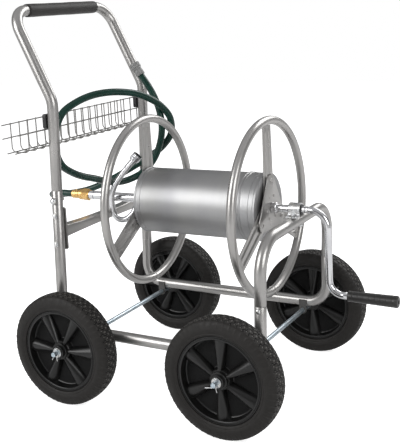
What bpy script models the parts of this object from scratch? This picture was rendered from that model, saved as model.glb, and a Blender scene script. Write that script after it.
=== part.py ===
"""Four-wheeled garden hose reel cart: steel tube frame, crank-turned reel, wire basket and leader hose.

Metres, +Z up. +X is the rolling direction, from the push handle to the crank. The origin is on the
floor, in the middle of the cart. Touching pieces keep GAP between them.
"""
from math import cos, pi, radians, sin, tan

import bmesh
import bpy
import numpy as np
from mathutils import Matrix, Vector

# Clearances
GAP = 0.0003
BOLT_CLEARANCE = 0.0004
RUNNING_CLEARANCE = 0.0003

# Frame tubes
TUBE_RADIUS = 0.0125
TUBE_WALL = 0.0015
TUBE_SIDES = 12
SIDE_Y = 0.189
RAIL_CLEARANCE = 0.001612
REAR_POST_X = -0.314
FRONT_POST_X = 0.182
POST_LEAN = 0.035
FRAME_BEND = 0.048
HANDLE_JOINT_Z = 0.471
ARCH_JOINT_Z = 0.262
ARCH_TOP_Z = 0.3915
ARCH_BEND = 0.070
SPIGOT_LENGTH = 0.035

# Push handle
KNEE_Z = 0.672
KNEE_BEND = 0.060
HANDLE_BAR_X = -0.393
HANDLE_BAR_Z = 0.8735
HANDLE_CORNER_BEND = 0.050
GRIP_WALL = 0.0025
GRIP_END_CLEARANCE = 0.004

# Wheels and axles
WHEEL_RADIUS = 0.127
WHEEL_FACETS = 32
WHEELBASE = 0.392
WHEELS_MIDDLE_X = -0.068
TRACK = 0.504
TYRE_WIDTH = 0.056
TREAD_WIDTH = 0.036
TYRE_BEAD_RADIUS = 0.0925
RIM_WALL = 0.004
RIM_WIDTH = 0.044
WEB_THICKNESS = 0.005
SPOKE_COUNT = 6
REAR_BLADE_TURN = radians(28)
HUB_RADIUS = 0.019
HUB_LENGTH = 0.060
AXLE_RADIUS = 0.0055
RAIL_Z = WHEEL_RADIUS * cos(pi / WHEEL_FACETS) + AXLE_RADIUS + RAIL_CLEARANCE + TUBE_RADIUS
AXLE_OVERHANG = 0.017
AXLE_PLATE = 0.003
AXLE_PLATE_WIDTH = 0.018
PIN_RADIUS = 0.0014
PIN_OFFSET = 0.0060

# Reel
REEL_X = -0.0235
REEL_Z = 0.418
RING_SPACING = 0.305
RING_RADIUS = 0.190
RING_TUBE_RADIUS = 0.0095
RING_TUBE_WALL = 0.0012
RING_FACETS = 36
DRUM_RADIUS = 0.075
DRUM_WALL = 0.0012
DRUM_SKIRT = 0.016
DRUM_BEAD_INSET = 0.040
DRUM_FACETS = 32
SPOKES_PER_RING = 3
SPOKE_THICKNESS = 0.002
SPOKE_ROOT = 0.030
SPOKE_HUB_WIDTH = 0.052
SPOKE_RING_WIDTH = 0.042
SPOKE_RIB = 0.0025
HUB_PLATE_THICKNESS = 0.003
HUB_PLATE_RADIUS = 0.072
SHAFT_RADIUS = 0.008
COLLAR_RADIUS = 0.012
COLLAR_LENGTH = 0.012
SPINDLE_RADIUS = 0.0105
SPINDLE_BORE = 0.0080
SPINDLE_END_X = -0.3065
GOOSENECK_RADIUS = 0.007
GOOSENECK_WALL = 0.0012
COUPLING_NUT_RADIUS = 0.0125
COUPLING_NUT_LENGTH = 0.018

# Crank
CRANK_RADIUS = 0.0075
CRANK_BORE = 0.0035
CRANK_START_X = 0.212
CRANK_DROP_X = 0.261
CRANK_THROW = 0.181
CRANK_BENDS = (0.040, 0.030)
CRANK_PEG_RADIUS = 0.005
CRANK_GRIP_X = 0.3015
CRANK_GRIP_LENGTH = 0.1065
CRANK_GRIP_RADII = (0.0112, 0.0128)

# Bearings
SADDLE_WIDTH = 0.026
SADDLE_THICKNESS = 0.0025
SADDLE_FLANGE = 0.018
BUSH_WALL = 0.003
BEARING_WALL = 0.0045
BEARING_X = (-0.304, -0.283)

# Rear cross beam
BEAM_WIDTH = 0.025
BEAM_WALL = 0.002
BEAM_TOP_END_Z = 0.3885
BEAM_TOP_MID_Z = 0.3820
BEAM_DEPTH_END = 0.027
BEAM_DEPTH_MID = 0.018
END_PLATE_THICKNESS = 0.003
END_PLATE_Z = (0.331, 0.429)

# Fasteners
BOLT_RADIUS = 0.003
BOLT_HEAD_RADIUS = 0.0062
BOLT_HEAD_HEIGHT = 0.0042
HANDLE_BOLT_Z = 0.448
HANDLE_BOLT_RADIUS = 0.0078
HANDLE_BOLT_HEAD = 0.0085
BEAM_BOLT_Z = (0.3474, 0.4135)

# Basket
WIRE_RADIUS = 0.0018
BASKET_FRONT_X = -0.322
BASKET_DEPTH = 0.048
BASKET_BACK_DROP = 0.008
BASKET_Y = (-0.283, 0.215)
BASKET_TOP_Z = 0.640
BASKET_MID_Z = 0.608
BASKET_BOTTOM_Z = 0.566
BASKET_CORNER = 0.012
BASKET_LOOPS = 16
WIRE_OVERHANG = (0.033, 0.018)
CLIP_SIZE = (0.020, 0.032)

# Water inlet and leader hose
INLET_PIPE_END_X = -0.347
BRASS_NUT_RADIUS = 0.0150
BRASS_NUT_LENGTH = 0.0295
BRASS_COLLAR_RADIUS = 0.0107
BRASS_COLLAR_LENGTH = 0.022
HOSE_RADIUS = 0.0085
HOSE_SPACING = 0.030
HOSE_COUPLING_LENGTH = 0.034
HOSE_COUPLING_RADIUS = 0.0125
HOSE_COUPLING_BORE = 0.0075
HOSE_ROUTE = (
    (-0.3996, 0.000, 0.418), (-0.414, 0.000, 0.418), (-0.430, 0.000, 0.418), (-0.458, 0.007, 0.413),
    (-0.491, 0.033, 0.404), (-0.504, 0.073, 0.394), (-0.494, 0.115, 0.390), (-0.463, 0.144, 0.394),
    (-0.423, 0.153, 0.408), (-0.384, 0.154, 0.426), (-0.345, 0.156, 0.446), (-0.307, 0.160, 0.467),
    (-0.270, 0.165, 0.489), (-0.235, 0.171, 0.514), (-0.209, 0.174, 0.548), (-0.203, 0.163, 0.589),
    (-0.212, 0.137, 0.622), (-0.224, 0.102, 0.645), (-0.239, 0.064, 0.661), (-0.255, 0.025, 0.669),
    (-0.271, -0.015, 0.672), (-0.286, -0.056, 0.669), (-0.299, -0.099, 0.658), (-0.307, -0.141, 0.639),
    (-0.310, -0.166, 0.603), (-0.314, -0.166, 0.555), (-0.318, -0.142, 0.518), (-0.319, -0.101, 0.493),
    (-0.318, -0.059, 0.476), (-0.318, -0.016, 0.463), (-0.317, 0.025, 0.449), (-0.314, 0.067, 0.438),
    (-0.305, 0.109, 0.436), (-0.279, 0.139, 0.451), (-0.250, 0.147, 0.482), (-0.230, 0.149, 0.521),
    (-0.222, 0.152, 0.564), (-0.229, 0.156, 0.609), (-0.247, 0.156, 0.654), (-0.275, 0.154, 0.697),
)


# Materials: colour, metallic, roughness.
FINISHES = {
    "silver_paint": ((0.62, 0.61, 0.60), 0.75, 0.35),
    "drum_steel": ((0.60, 0.60, 0.60), 0.80, 0.32),
    "chrome": ((0.80, 0.80, 0.82), 1.0, 0.12),
    "zinc": ((0.70, 0.72, 0.76), 1.0, 0.30),
    "brass": ((0.78, 0.55, 0.27), 1.0, 0.28),
    "foam": ((0.055, 0.050, 0.048), 0.0, 0.90),
    "rubber": ((0.040, 0.037, 0.034), 0.0, 0.80),
    "black_plastic": ((0.015, 0.015, 0.016), 0.0, 0.45),
    "hose_vinyl": ((0.020, 0.075, 0.060), 0.0, 0.30),
    "grey_plastic": ((0.55, 0.56, 0.55), 0.0, 0.45),
}


def clear_scene():
    for item in list(bpy.data.objects):
        bpy.data.objects.remove(item, do_unlink=True)


def make_material(node_name, finish):
    colour, metallic, roughness = FINISHES[finish]
    material = bpy.data.materials.new(node_name)
    material.use_nodes = True
    shader = material.node_tree.nodes["Principled BSDF"]
    shader.inputs["Base Color"].default_value = (*colour, 1.0)
    shader.inputs["Metallic"].default_value = metallic
    shader.inputs["Roughness"].default_value = roughness
    return material


def add_axis(name, point):
    """An empty on a joint's axis, which the moving pieces hang from."""
    axis = bpy.data.objects.new(name, None)
    axis.location = point
    bpy.context.collection.objects.link(axis)
    return axis


def add_piece(name, mesh, finish, axis=None):
    """Names a mesh made in world coordinates as a piece, and puts its origin on its axis if it turns."""
    if axis:
        mesh.transform(Matrix.Translation(-axis.location))
    piece = bpy.data.objects.new(name, mesh)
    mesh.materials.clear()
    mesh.materials.append(make_material(name, finish))
    bpy.context.collection.objects.link(piece)
    piece.parent = axis
    mesh.shade_smooth()
    mesh.set_sharp_from_angle(angle=radians(35))
    return piece


def finish_mesh(shape, name):
    bmesh.ops.remove_doubles(shape, verts=shape.verts, dist=1e-7)
    bmesh.ops.recalc_face_normals(shape, faces=shape.faces)
    mesh = bpy.data.meshes.new(name)
    shape.to_mesh(mesh)
    shape.free()
    return mesh


def bent_path(corners, bends, steps=4):
    """The centre line of a bent tube: straight runs between corners, with an arc at each inner corner."""
    path = [Vector(corners[0])]
    for before, corner, after, bend in zip(corners, corners[1:], corners[2:], bends):
        corner = Vector(corner)
        back = (Vector(before) - corner).normalized()
        ahead = (Vector(after) - corner).normalized()
        half = back.angle(ahead) / 2
        centre = corner + (back + ahead).normalized() * (bend / sin(half))
        start = corner + back * (bend / tan(half)) - centre
        turn = start.cross(corner + ahead * (bend / tan(half)) - centre).normalized()
        for step in range(steps + 1):
            angle = (pi - 2 * half) * step / steps
            path.append(centre + Matrix.Rotation(angle, 3, turn) @ start)
    path.append(Vector(corners[-1]))
    return path


def sweep(name, path, outer, inner=None, sides=TUBE_SIDES, phase=0.5):
    """A tube along a path, with one outer radius for each point or for all. With no inner radius it is solid."""
    outer = [outer] * len(path) if isinstance(outer, float) else outer
    shape = bmesh.new()
    tangents = []
    for i, point in enumerate(path):
        ahead = path[min(i + 1, len(path) - 1)] - point
        back = point - path[max(i - 1, 0)]
        tangents.append((ahead.normalized() + back.normalized()).normalized())
    side = tangents[0].orthogonal().normalized()
    rings = []
    for point, tangent, radius in zip(path, tangents, outer):
        side = (side - tangent * side.dot(tangent)).normalized()
        across = tangent.cross(side)
        angles = [2 * pi * (k + phase) / sides for k in range(sides)]
        spokes = [side * cos(a) + across * sin(a) for a in angles]
        ring = [shape.verts.new(point + spoke * radius) for spoke in spokes]
        bore = [shape.verts.new(point + spoke * inner) for spoke in spokes] if inner else None
        rings.append((ring, bore))
    for (ring, bore), (next_ring, next_bore) in zip(rings, rings[1:]):
        for k in range(sides):
            after = (k + 1) % sides
            shape.faces.new((ring[k], ring[after], next_ring[after], next_ring[k]))
            if inner:
                shape.faces.new((bore[after], bore[k], next_bore[k], next_bore[after]))
    for ring, bore in (rings[0], rings[-1]):
        if not inner:
            shape.faces.new(ring)
            continue
        for k in range(sides):
            after = (k + 1) % sides
            shape.faces.new((ring[k], ring[after], bore[after], bore[k]))
    return finish_mesh(shape, name)


def turned(name, profile, point, axis, steps=32, phase=0.0, closed=True):
    """A turned piece. The profile's points are (distance along the axis, radius) round its section."""
    direction = Vector(axis).normalized()
    side = Vector((0, 0, -1)) if abs(direction.z) < 0.9 else Vector((1, 0, 0))
    side = (side - direction * side.dot(direction)).normalized()
    side = Matrix.Rotation(phase, 3, direction) @ side
    shape = bmesh.new()
    verts = [shape.verts.new(Vector(point) + direction * a + side * r) for a, r in profile]
    pairs = list(zip(range(len(profile)), list(range(1, len(profile))) + [0]))
    if not closed:
        pairs = pairs[:-1]
    edges = [shape.edges.new((verts[i], verts[j])) for i, j in pairs if profile[i][1] > 0 or profile[j][1] > 0]
    bmesh.ops.spin(
        shape, geom=verts + edges, cent=Vector(point), axis=direction, angle=2 * pi, steps=steps, use_merge=True
    )
    bmesh.ops.remove_doubles(shape, verts=shape.verts, dist=1e-6)
    bmesh.ops.dissolve_degenerate(shape, edges=shape.edges, dist=1e-7)
    return finish_mesh(shape, name)


def cylinder(name, start, end, radius, sides=16):
    """A plain round bar between two points."""
    length = (Vector(end) - Vector(start)).length
    profile = [(0, 0), (0, radius), (length, radius), (length, 0)]
    return turned(name, profile, start, Vector(end) - Vector(start), steps=sides, phase=pi / sides)


def box(name, low, high):
    shape = bmesh.new()
    bmesh.ops.create_cube(shape, size=1.0)
    size = Vector(high) - Vector(low)
    centre = (Vector(high) + Vector(low)) / 2
    bmesh.ops.scale(shape, verts=shape.verts, vec=size)
    bmesh.ops.translate(shape, verts=shape.verts, vec=centre)
    return finish_mesh(shape, name)


def loft(name, sections):
    """A solid through sections that all have the same number of points."""
    shape = bmesh.new()
    rings = [[shape.verts.new(point) for point in section] for section in sections]
    count = len(rings[0])
    for ring, next_ring in zip(rings, rings[1:]):
        for k in range(count):
            shape.faces.new((ring[k], ring[(k + 1) % count], next_ring[(k + 1) % count], next_ring[k]))
    shape.faces.new(rings[0])
    shape.faces.new(rings[-1])
    return finish_mesh(shape, name)


def combine(meshes, operation):
    """The first mesh, joined with or cut by the others."""
    target = bpy.data.objects.new("blank", meshes[0])
    bpy.context.collection.objects.link(target)
    helpers = bpy.data.collections.new("helpers")
    for mesh in meshes[1:]:
        helper = bpy.data.objects.new("helper", mesh)
        helper.hide_render = True
        helper.display_type = "WIRE"
        helpers.objects.link(helper)
    boolean = target.modifiers.new("combine", "BOOLEAN")
    boolean.operation = operation
    boolean.operand_type = "COLLECTION"
    boolean.collection = helpers
    boolean.solver = "EXACT"
    graph = bpy.context.evaluated_depsgraph_get()
    mesh = bpy.data.meshes.new_from_object(target.evaluated_get(graph))
    for helper in list(helpers.objects):
        bpy.data.objects.remove(helper, do_unlink=True)
    bpy.data.objects.remove(target, do_unlink=True)
    bpy.data.collections.remove(helpers)
    return mesh


def join(*meshes):
    return combine(meshes, "UNION")


def cut(mesh, *cutters):
    return combine([mesh, *cutters], "DIFFERENCE")


def rear_post_x(height):
    return REAR_POST_X + POST_LEAN * (height - RAIL_Z)


def front_post_x(height):
    return FRONT_POST_X + POST_LEAN * (height - RAIL_Z)


def bolt_hole(x, y, z):
    """A cutter across a frame tube, through both of its walls."""
    reach = TUBE_RADIUS + 0.006
    return cylinder("hole", (x, y - reach, z), (x, y + reach, z), BOLT_RADIUS + BOLT_CLEARANCE, sides=12)


def side_tube(name, side):
    y = side * SIDE_Y
    corners = (
        (rear_post_x(HANDLE_JOINT_Z), y, HANDLE_JOINT_Z),
        (REAR_POST_X, y, RAIL_Z),
        (FRONT_POST_X, y, RAIL_Z),
        (front_post_x(ARCH_JOINT_Z), y, ARCH_JOINT_Z),
    )
    tube = sweep(name, bent_path(corners, (FRAME_BEND, FRAME_BEND)), TUBE_RADIUS, TUBE_RADIUS - TUBE_WALL)
    holes = [bolt_hole(rear_post_x(z), y, z) for z in (HANDLE_BOLT_Z, *BEAM_BOLT_Z)]
    add_piece(name, cut(tube, *holes), "silver_paint")


def with_spigots(path):
    """The path and its radii with a reduced end at each side, which slides into the tube below it."""
    spigot = (TUBE_RADIUS - TUBE_WALL) * cos(pi / TUBE_SIDES) - GAP
    first = (path[0] - path[1]).normalized()
    last = (path[-1] - path[-2]).normalized()
    path = [path[0] + first * SPIGOT_LENGTH, path[0] + first * GAP, *path, path[-1] + last * GAP]
    path.append(path[-2] + last * SPIGOT_LENGTH)
    return path, [spigot, spigot, *[TUBE_RADIUS] * (len(path) - 4), spigot, spigot]


def front_arch():
    foot = (front_post_x(ARCH_JOINT_Z + GAP), SIDE_Y, ARCH_JOINT_Z + GAP)
    top = (front_post_x(ARCH_TOP_Z), SIDE_Y, ARCH_TOP_Z)
    corners = ((foot[0], -SIDE_Y, foot[2]), (top[0], -SIDE_Y, top[2]), top, foot)
    path, radii = with_spigots(bent_path(corners, (ARCH_BEND, ARCH_BEND)))
    tube = sweep("front_arch_tube", path, radii, TUBE_RADIUS - 2 * TUBE_WALL - GAP)
    holes = [saddle_bolt_hole(y) for y in saddle_bolt_places()]
    add_piece("front_arch_tube", cut(tube, *holes), "silver_paint")


def handle():
    foot = (rear_post_x(HANDLE_JOINT_Z + GAP), SIDE_Y, HANDLE_JOINT_Z + GAP)
    knee = (rear_post_x(KNEE_Z), SIDE_Y, KNEE_Z)
    corner = (HANDLE_BAR_X, SIDE_Y, HANDLE_BAR_Z)
    near = [(x, -y, z) for x, y, z in (foot, knee, corner)]
    bends = (KNEE_BEND, HANDLE_CORNER_BEND, HANDLE_CORNER_BEND, KNEE_BEND)
    path, radii = with_spigots(bent_path((*near, corner, knee, foot), bends))
    tube = sweep("handle_tube", path, radii, TUBE_RADIUS - 2 * TUBE_WALL - GAP)
    holes = [bolt_hole(rear_post_x(HANDLE_BOLT_Z), side * SIDE_Y, HANDLE_BOLT_Z) for side in (-1, 1)]
    add_piece("handle_tube", cut(tube, *holes), "silver_paint")
    bore = TUBE_RADIUS + GAP
    lip = 0.004
    outer = TUBE_RADIUS + GRIP_WALL
    length = 2 * (SIDE_Y - HANDLE_CORNER_BEND - GRIP_END_CLEARANCE)
    profile = [(0, bore), (0, outer - lip / 4), (lip, outer), (length - lip, outer)]
    profile += [(length, outer - lip / 4), (length, bore)]
    start = (HANDLE_BAR_X, -length / 2, HANDLE_BAR_Z)
    add_piece("handle_grip", turned("handle_grip", profile, start, (0, 1, 0), steps=20), "foam")


def frame_bolt(name, side, height, head_radius=BOLT_HEAD_RADIUS, head=BOLT_HEAD_HEIGHT):
    """A round-headed bolt across a rear post, with its nut on the inner side."""
    x = rear_post_x(height)
    outside = TUBE_RADIUS + GAP
    inside = -(TUBE_RADIUS + END_PLATE_THICKNESS + 2 * GAP)
    nut = BOLT_HEAD_HEIGHT
    profile = [(inside - nut, 0), (inside - nut, BOLT_HEAD_RADIUS * 0.85), (inside, BOLT_HEAD_RADIUS * 0.85)]
    profile += [(inside, BOLT_RADIUS), (outside, BOLT_RADIUS), (outside, head_radius)]
    profile += [(outside + head / 2, head_radius * 0.85), (outside + head, 0)]
    mesh = turned(name, profile, (x, side * SIDE_Y, height), (0, side, 0), steps=10)
    add_piece(name, mesh, "zinc")


def beam_section(y, share):
    """The downward-open channel's outline at one place, share being 0 mid-span and 1 at the post."""
    top = BEAM_TOP_MID_Z + (BEAM_TOP_END_Z - BEAM_TOP_MID_Z) * share
    foot = top - BEAM_DEPTH_MID - (BEAM_DEPTH_END - BEAM_DEPTH_MID) * share
    middle = rear_post_x(BEAM_TOP_END_Z)
    outer = BEAM_WIDTH / 2
    inner = outer - BEAM_WALL
    outline = [(-outer, foot), (-outer, top), (outer, top), (outer, foot)]
    outline += [(inner, foot), (inner, top - BEAM_WALL), (-inner, top - BEAM_WALL), (-inner, foot)]
    return [(middle + x, y, z) for x, z in outline]


def rear_cross_beam():
    """Pressed channel with a welded plate at each post and the reel's rear bearing on top."""
    reach = SIDE_Y - TUBE_RADIUS - GAP
    stations = np.linspace(-1, 1, 11)
    inset = reach - END_PLATE_THICKNESS / 2
    sections = [beam_section(share * inset, share * share) for share in stations]
    pieces = [loft("rear_cross_beam", sections)]
    middle = rear_post_x(BEAM_TOP_END_Z)
    for side in (-1, 1):
        y = sorted((side * reach, side * (reach - END_PLATE_THICKNESS)))
        low = (middle - TUBE_RADIUS, y[0], END_PLATE_Z[0])
        high = (middle + TUBE_RADIUS, y[1], END_PLATE_Z[1])
        plate = box("plate", low, high)
        holes = [bolt_hole(rear_post_x(z), side * SIDE_Y, z) for z in BEAM_BOLT_Z]
        pieces.append(cut(plate, *holes))
    bore = SPINDLE_RADIUS + RUNNING_CLEARANCE
    start, end = BEARING_X
    ring_radius = bore + BEARING_WALL
    pieces.append(
        box("foot", (start, -ring_radius * 0.7, BEAM_TOP_MID_Z - BEAM_WALL / 2), (end, ring_radius * 0.7, REEL_Z))
    )
    pieces.append(cylinder("sleeve", (start, 0, REEL_Z), (end, 0, REEL_Z), ring_radius, sides=20))
    beam = join(*pieces)
    drill = cylinder("drill", (start - 0.01, 0, REEL_Z), (end + 0.01, 0, REEL_Z), bore, sides=20)
    add_piece("rear_cross_beam", cut(beam, drill), "silver_paint")


def axle_height():
    """A wheel stands on the flat facet at its foot."""
    return WHEEL_RADIUS * cos(pi / WHEEL_FACETS)


def hub_outer_y():
    return TRACK / 2 + HUB_LENGTH / 2


def pin_y():
    return hub_outer_y() + PIN_OFFSET


def axle(name, x):
    reach = hub_outer_y() + AXLE_OVERHANG
    z = axle_height()
    rod = cylinder(name, (x, -reach, z), (x, reach, z), AXLE_RADIUS, sides=16)
    hole = PIN_RADIUS + BOLT_CLEARANCE
    far = AXLE_RADIUS + 0.002
    holes = [cylinder("hole", (x, s * pin_y(), z - far), (x, s * pin_y(), z + far), hole, sides=8) for s in (-1, 1)]
    add_piece(name, cut(rod, *holes), "zinc")


def axle_plate(name, x, side):
    """Plate welded to the rail's inner side, which the axle passes through."""
    face = SIDE_Y - TUBE_RADIUS - GAP
    y = sorted((side * face, side * (face - AXLE_PLATE)))
    z = axle_height()
    half = AXLE_PLATE_WIDTH / 2
    upper = box(name, (x - half, y[0], z), (x + half, y[1], RAIL_Z + TUBE_RADIUS / 2))
    foot = cylinder("foot", (x, y[0], z), (x, y[1], z), half, sides=16)
    hole = cylinder("hole", (x, y[0] - 0.01, z), (x, y[1] + 0.01, z), AXLE_RADIUS + GAP, sides=16)
    add_piece(name, cut(join(upper, foot), hole), "zinc")


def split_pin(name, x, side):
    """Split pin across the axle's end: a round eye above, a straight shank and a bent leg below."""
    z = axle_height()
    y = side * pin_y()
    eye = AXLE_RADIUS + 0.006
    leg = AXLE_RADIUS + 0.003
    path = [(x, y, z + eye), (x, y, z - leg), (x + 0.004, y + side * 0.001, z - leg - 0.004)]
    path.append((x + 0.011, y + side * 0.002, z - leg - 0.007))
    shank = sweep(name, [Vector(point) for point in path], PIN_RADIUS, sides=8)
    ring = [(PIN_RADIUS * cos(a), 0.0038 + PIN_RADIUS * sin(a)) for a in np.linspace(0, 2 * pi, 7)[:-1]]
    loop = turned("eye", ring, (x, y, z + eye + 0.0034), (0, 1, 0), steps=12)
    add_piece(name, join(shank, loop), "zinc")


def tyre_mesh(centre):
    half = TYRE_WIDTH / 2
    tread = TREAD_WIDTH / 2
    shoulder = WHEEL_RADIUS - 0.004
    outer = [(-tread, WHEEL_RADIUS), (tread, WHEEL_RADIUS)]
    wall = [(half - 0.002, shoulder), (half, shoulder - 0.010), (half - 0.003, TYRE_BEAD_RADIUS + 0.004)]
    profile = outer + wall + [(half - 0.006, TYRE_BEAD_RADIUS)]
    profile += [(-a, r) for a, r in reversed(profile[2:])]
    return turned("tyre", profile, centre, (0, 1, 0), steps=WHEEL_FACETS, phase=pi / WHEEL_FACETS)


def rim_mesh(centre, turned_by):
    """Moulded rim: barrel, closed web, six blades that widen outwards, and a long hub with the axle's bore."""
    x, y, z = centre
    outer = TYRE_BEAD_RADIUS - GAP
    inner = outer - RIM_WALL
    half = RIM_WIDTH / 2
    barrel = [(-half, outer), (half, outer), (half, inner), (-half, inner)]
    phase = pi / WHEEL_FACETS
    pieces = [turned("rim", barrel, centre, (0, 1, 0), steps=WHEEL_FACETS, phase=phase)]
    hub = HUB_LENGTH / 2
    pieces.append(cylinder("hub", (x, y - hub, z), (x, y + hub, z), HUB_RADIUS, sides=20))
    web = WEB_THICKNESS / 2
    pieces.append(cylinder("web", (x, y - web, z), (x, y + web, z), inner + RIM_WALL / 2, sides=WHEEL_FACETS))
    for k in range(SPOKE_COUNT):
        turn = Matrix.Translation(centre) @ Matrix.Rotation(2 * pi * k / SPOKE_COUNT + turned_by, 4, "Y")
        root, tip = HUB_RADIUS - 0.003, inner + RIM_WALL / 4
        blade = []
        for radius, width, depth in ((root, 0.008, 0.016), (tip, 0.014, 0.010)):
            corners = ((-width, -depth), (width, -depth), (width, depth), (-width, depth))
            blade.append([turn @ Vector((across, along, radius)) for across, along in corners])
        pieces.append(loft("blade", blade))
    bore = AXLE_RADIUS + RUNNING_CLEARANCE
    drill = cylinder("drill", (x, y - hub - 0.01, z), (x, y + hub + 0.01, z), bore, sides=16)
    return cut(join(*pieces), drill)


def wheels():
    for end, x in (("rear", -WHEELBASE / 2), ("front", WHEELBASE / 2)):
        x += WHEELS_MIDDLE_X
        axle(end + "_axle", x)
        for name, side in (("near", -1), ("far", 1)):
            label = f"{end}_{name}"
            centre = (x, side * TRACK / 2, axle_height())
            axis = add_axis(f"{label}_wheel_axis", centre)
            add_piece(f"{label}_tyre", tyre_mesh(centre), "rubber", axis)
            add_piece(f"{label}_rim", rim_mesh(centre, REAR_BLADE_TURN * (end == "rear")), "black_plastic", axis)
            axle_plate(f"{label}_axle_plate", x, side)
            split_pin(f"{label}_split_pin", x, side)


def reel_ring(name, x, axis):
    """Hollow tube bent to a ring, its two ends almost meeting at the foot."""
    opening = 0.0005 / RING_RADIUS
    angles = np.linspace(-pi / 2 + opening / 2, 3 * pi / 2 - opening / 2, RING_FACETS + 1)
    path = [Vector((x, RING_RADIUS * cos(a), REEL_Z + RING_RADIUS * sin(a))) for a in angles]
    ring = sweep(name, path, RING_TUBE_RADIUS, RING_TUBE_RADIUS - RING_TUBE_WALL, sides=8)
    add_piece(name, ring, "silver_paint", axis)


def spoke(name, x, outward, angle, axis):
    """Flat steel strip with two pressed ribs, from the drum's end to the ring."""
    back = x - outward * SPOKE_THICKNESS / 2
    turn = Matrix.Rotation(angle, 3, "X")
    sections = []
    tip = RING_RADIUS * cos(pi / RING_FACETS) - RING_TUBE_RADIUS - GAP
    for radius, width in ((SPOKE_ROOT, SPOKE_HUB_WIDTH), (tip, SPOKE_RING_WIDTH)):
        half = width / 2
        rib = SPOKE_RIB
        face = [(-half, 0), (-half * 0.55, 0), (-half * 0.40, rib), (-half * 0.25, 0)]
        face += [(half * 0.25, 0), (half * 0.40, rib), (half * 0.55, 0), (half, 0)]
        outline = [(y, SPOKE_THICKNESS + rise) for y, rise in face]
        outline += [(y, rise) for y, rise in reversed(face)]
        points = []
        for y, height in outline:
            height_here = radius if radius == SPOKE_ROOT else (tip**2 - y**2) ** 0.5
            across = turn @ Vector((0, y, height_here))
            points.append((back + outward * height, across.y, REEL_Z + across.z))
        sections.append(points)
    add_piece(name, loft(name, sections), "silver_paint", axis)


def hub_plate_outline():
    """A triangle with bulging sides and clipped corners, one corner over each spoke."""
    points = []
    for k in range(SPOKES_PER_RING):
        corner = 2 * pi * k / SPOKES_PER_RING
        for offset, radius in ((-0.17, 1.0), (0.17, 1.0), (0.52, 0.84), (pi / 3, 0.76), (2 * pi / 3 - 0.52, 0.84)):
            points.append((corner + offset, radius * HUB_PLATE_RADIUS))
    return points


def hub_plate(name, x, outward, bore, axis):
    """Pressed plate that clamps the three spokes to the drum's end."""
    inner = x + outward * (SPOKE_THICKNESS / 2 + SPOKE_RIB + GAP)
    sections = []
    for level in (inner, inner + outward * HUB_PLATE_THICKNESS):
        outline = [(level, r * sin(a), REEL_Z + r * cos(a)) for a, r in hub_plate_outline()]
        sections.append(outline)
    reach = 0.02
    drill = cylinder("drill", (inner - reach, 0, REEL_Z), (inner + reach, 0, REEL_Z), bore + GAP, sides=16)
    add_piece(name, cut(loft(name, sections), drill), "silver_paint", axis)
    return inner + outward * HUB_PLATE_THICKNESS


def drum(rear_x, front_x, axis):
    """Rolled sheet drum between two pressed end pans."""
    face = SPOKE_THICKNESS / 2 + GAP
    low, high = rear_x + face, front_x - face
    wall = DRUM_WALL
    outer, lip = DRUM_RADIUS, DRUM_RADIUS + 0.0012
    bore = SPINDLE_RADIUS + GAP
    for name, start, outward in (("drum_end_rear", low, 1), ("drum_end_front", high, -1)):
        pan = [(0, bore), (0, outer - 0.002), (0.001, lip), (0.005, lip), (0.006, outer), (DRUM_SKIRT, outer)]
        pan += [(DRUM_SKIRT, outer - wall), (wall, outer - wall), (wall, bore)]
        mesh = turned(name, pan, (start, 0, REEL_Z), (outward, 0, 0), steps=DRUM_FACETS)
        add_piece(name, mesh, "drum_steel", axis)
    length = high - low - 2 * (DRUM_SKIRT + GAP)
    bead = length - DRUM_BEAD_INSET + DRUM_SKIRT
    shell = [(0, outer), (bead - 0.006, outer), (bead - 0.003, outer + 0.0016), (bead, outer)]
    shell += [(bead + 0.003, outer + 0.0016), (bead + 0.006, outer), (length, outer)]
    shell += [(length, outer - wall), (0, outer - wall)]
    start = (low + DRUM_SKIRT + GAP, 0, REEL_Z)
    mesh = turned("drum_shell", shell, start, (1, 0, 0), steps=DRUM_FACETS)
    add_piece("drum_shell", mesh, "drum_steel", axis)


def gooseneck(axis):
    """Outlet pipe from the spindle's side, round and up beside it, to the coupling nut for the hose."""
    start = -(SPINDLE_RADIUS + GAP)
    points = (
        (-0.216, 0.000, start - 0.0002), (-0.216, 0.000, start - 0.009),
        (-0.222, -0.006, -0.037), (-0.237, -0.014, -0.050), (-0.254, -0.020, -0.050),
        (-0.265, -0.023, -0.035), (-0.268, -0.024, -0.010), (-0.265, -0.024, 0.015), (-0.252, -0.020, 0.042),
        (-0.229, -0.012, 0.072), (-0.208, -0.004, 0.096),
    )
    path = smooth_path([(x, y, REEL_Z + z) for x, y, z in points], 0.013)
    inner = GOOSENECK_RADIUS - GOOSENECK_WALL
    add_piece("gooseneck_pipe", sweep("gooseneck_pipe", path, GOOSENECK_RADIUS, inner, sides=8), "chrome", axis)
    direction = (path[-1] - path[-2]).normalized()
    bore = GOOSENECK_RADIUS + GAP
    nut = COUPLING_NUT_RADIUS
    length = COUPLING_NUT_LENGTH
    profile = [(0, bore), (0, nut - 0.001), (0.001, nut), (length - 0.001, nut), (length, nut - 0.001), (length, bore)]
    start = path[-1] - direction * (length * 0.35)
    add_piece("gooseneck_nut", turned("gooseneck_nut", profile, start, direction, steps=12), "chrome", axis)


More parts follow.
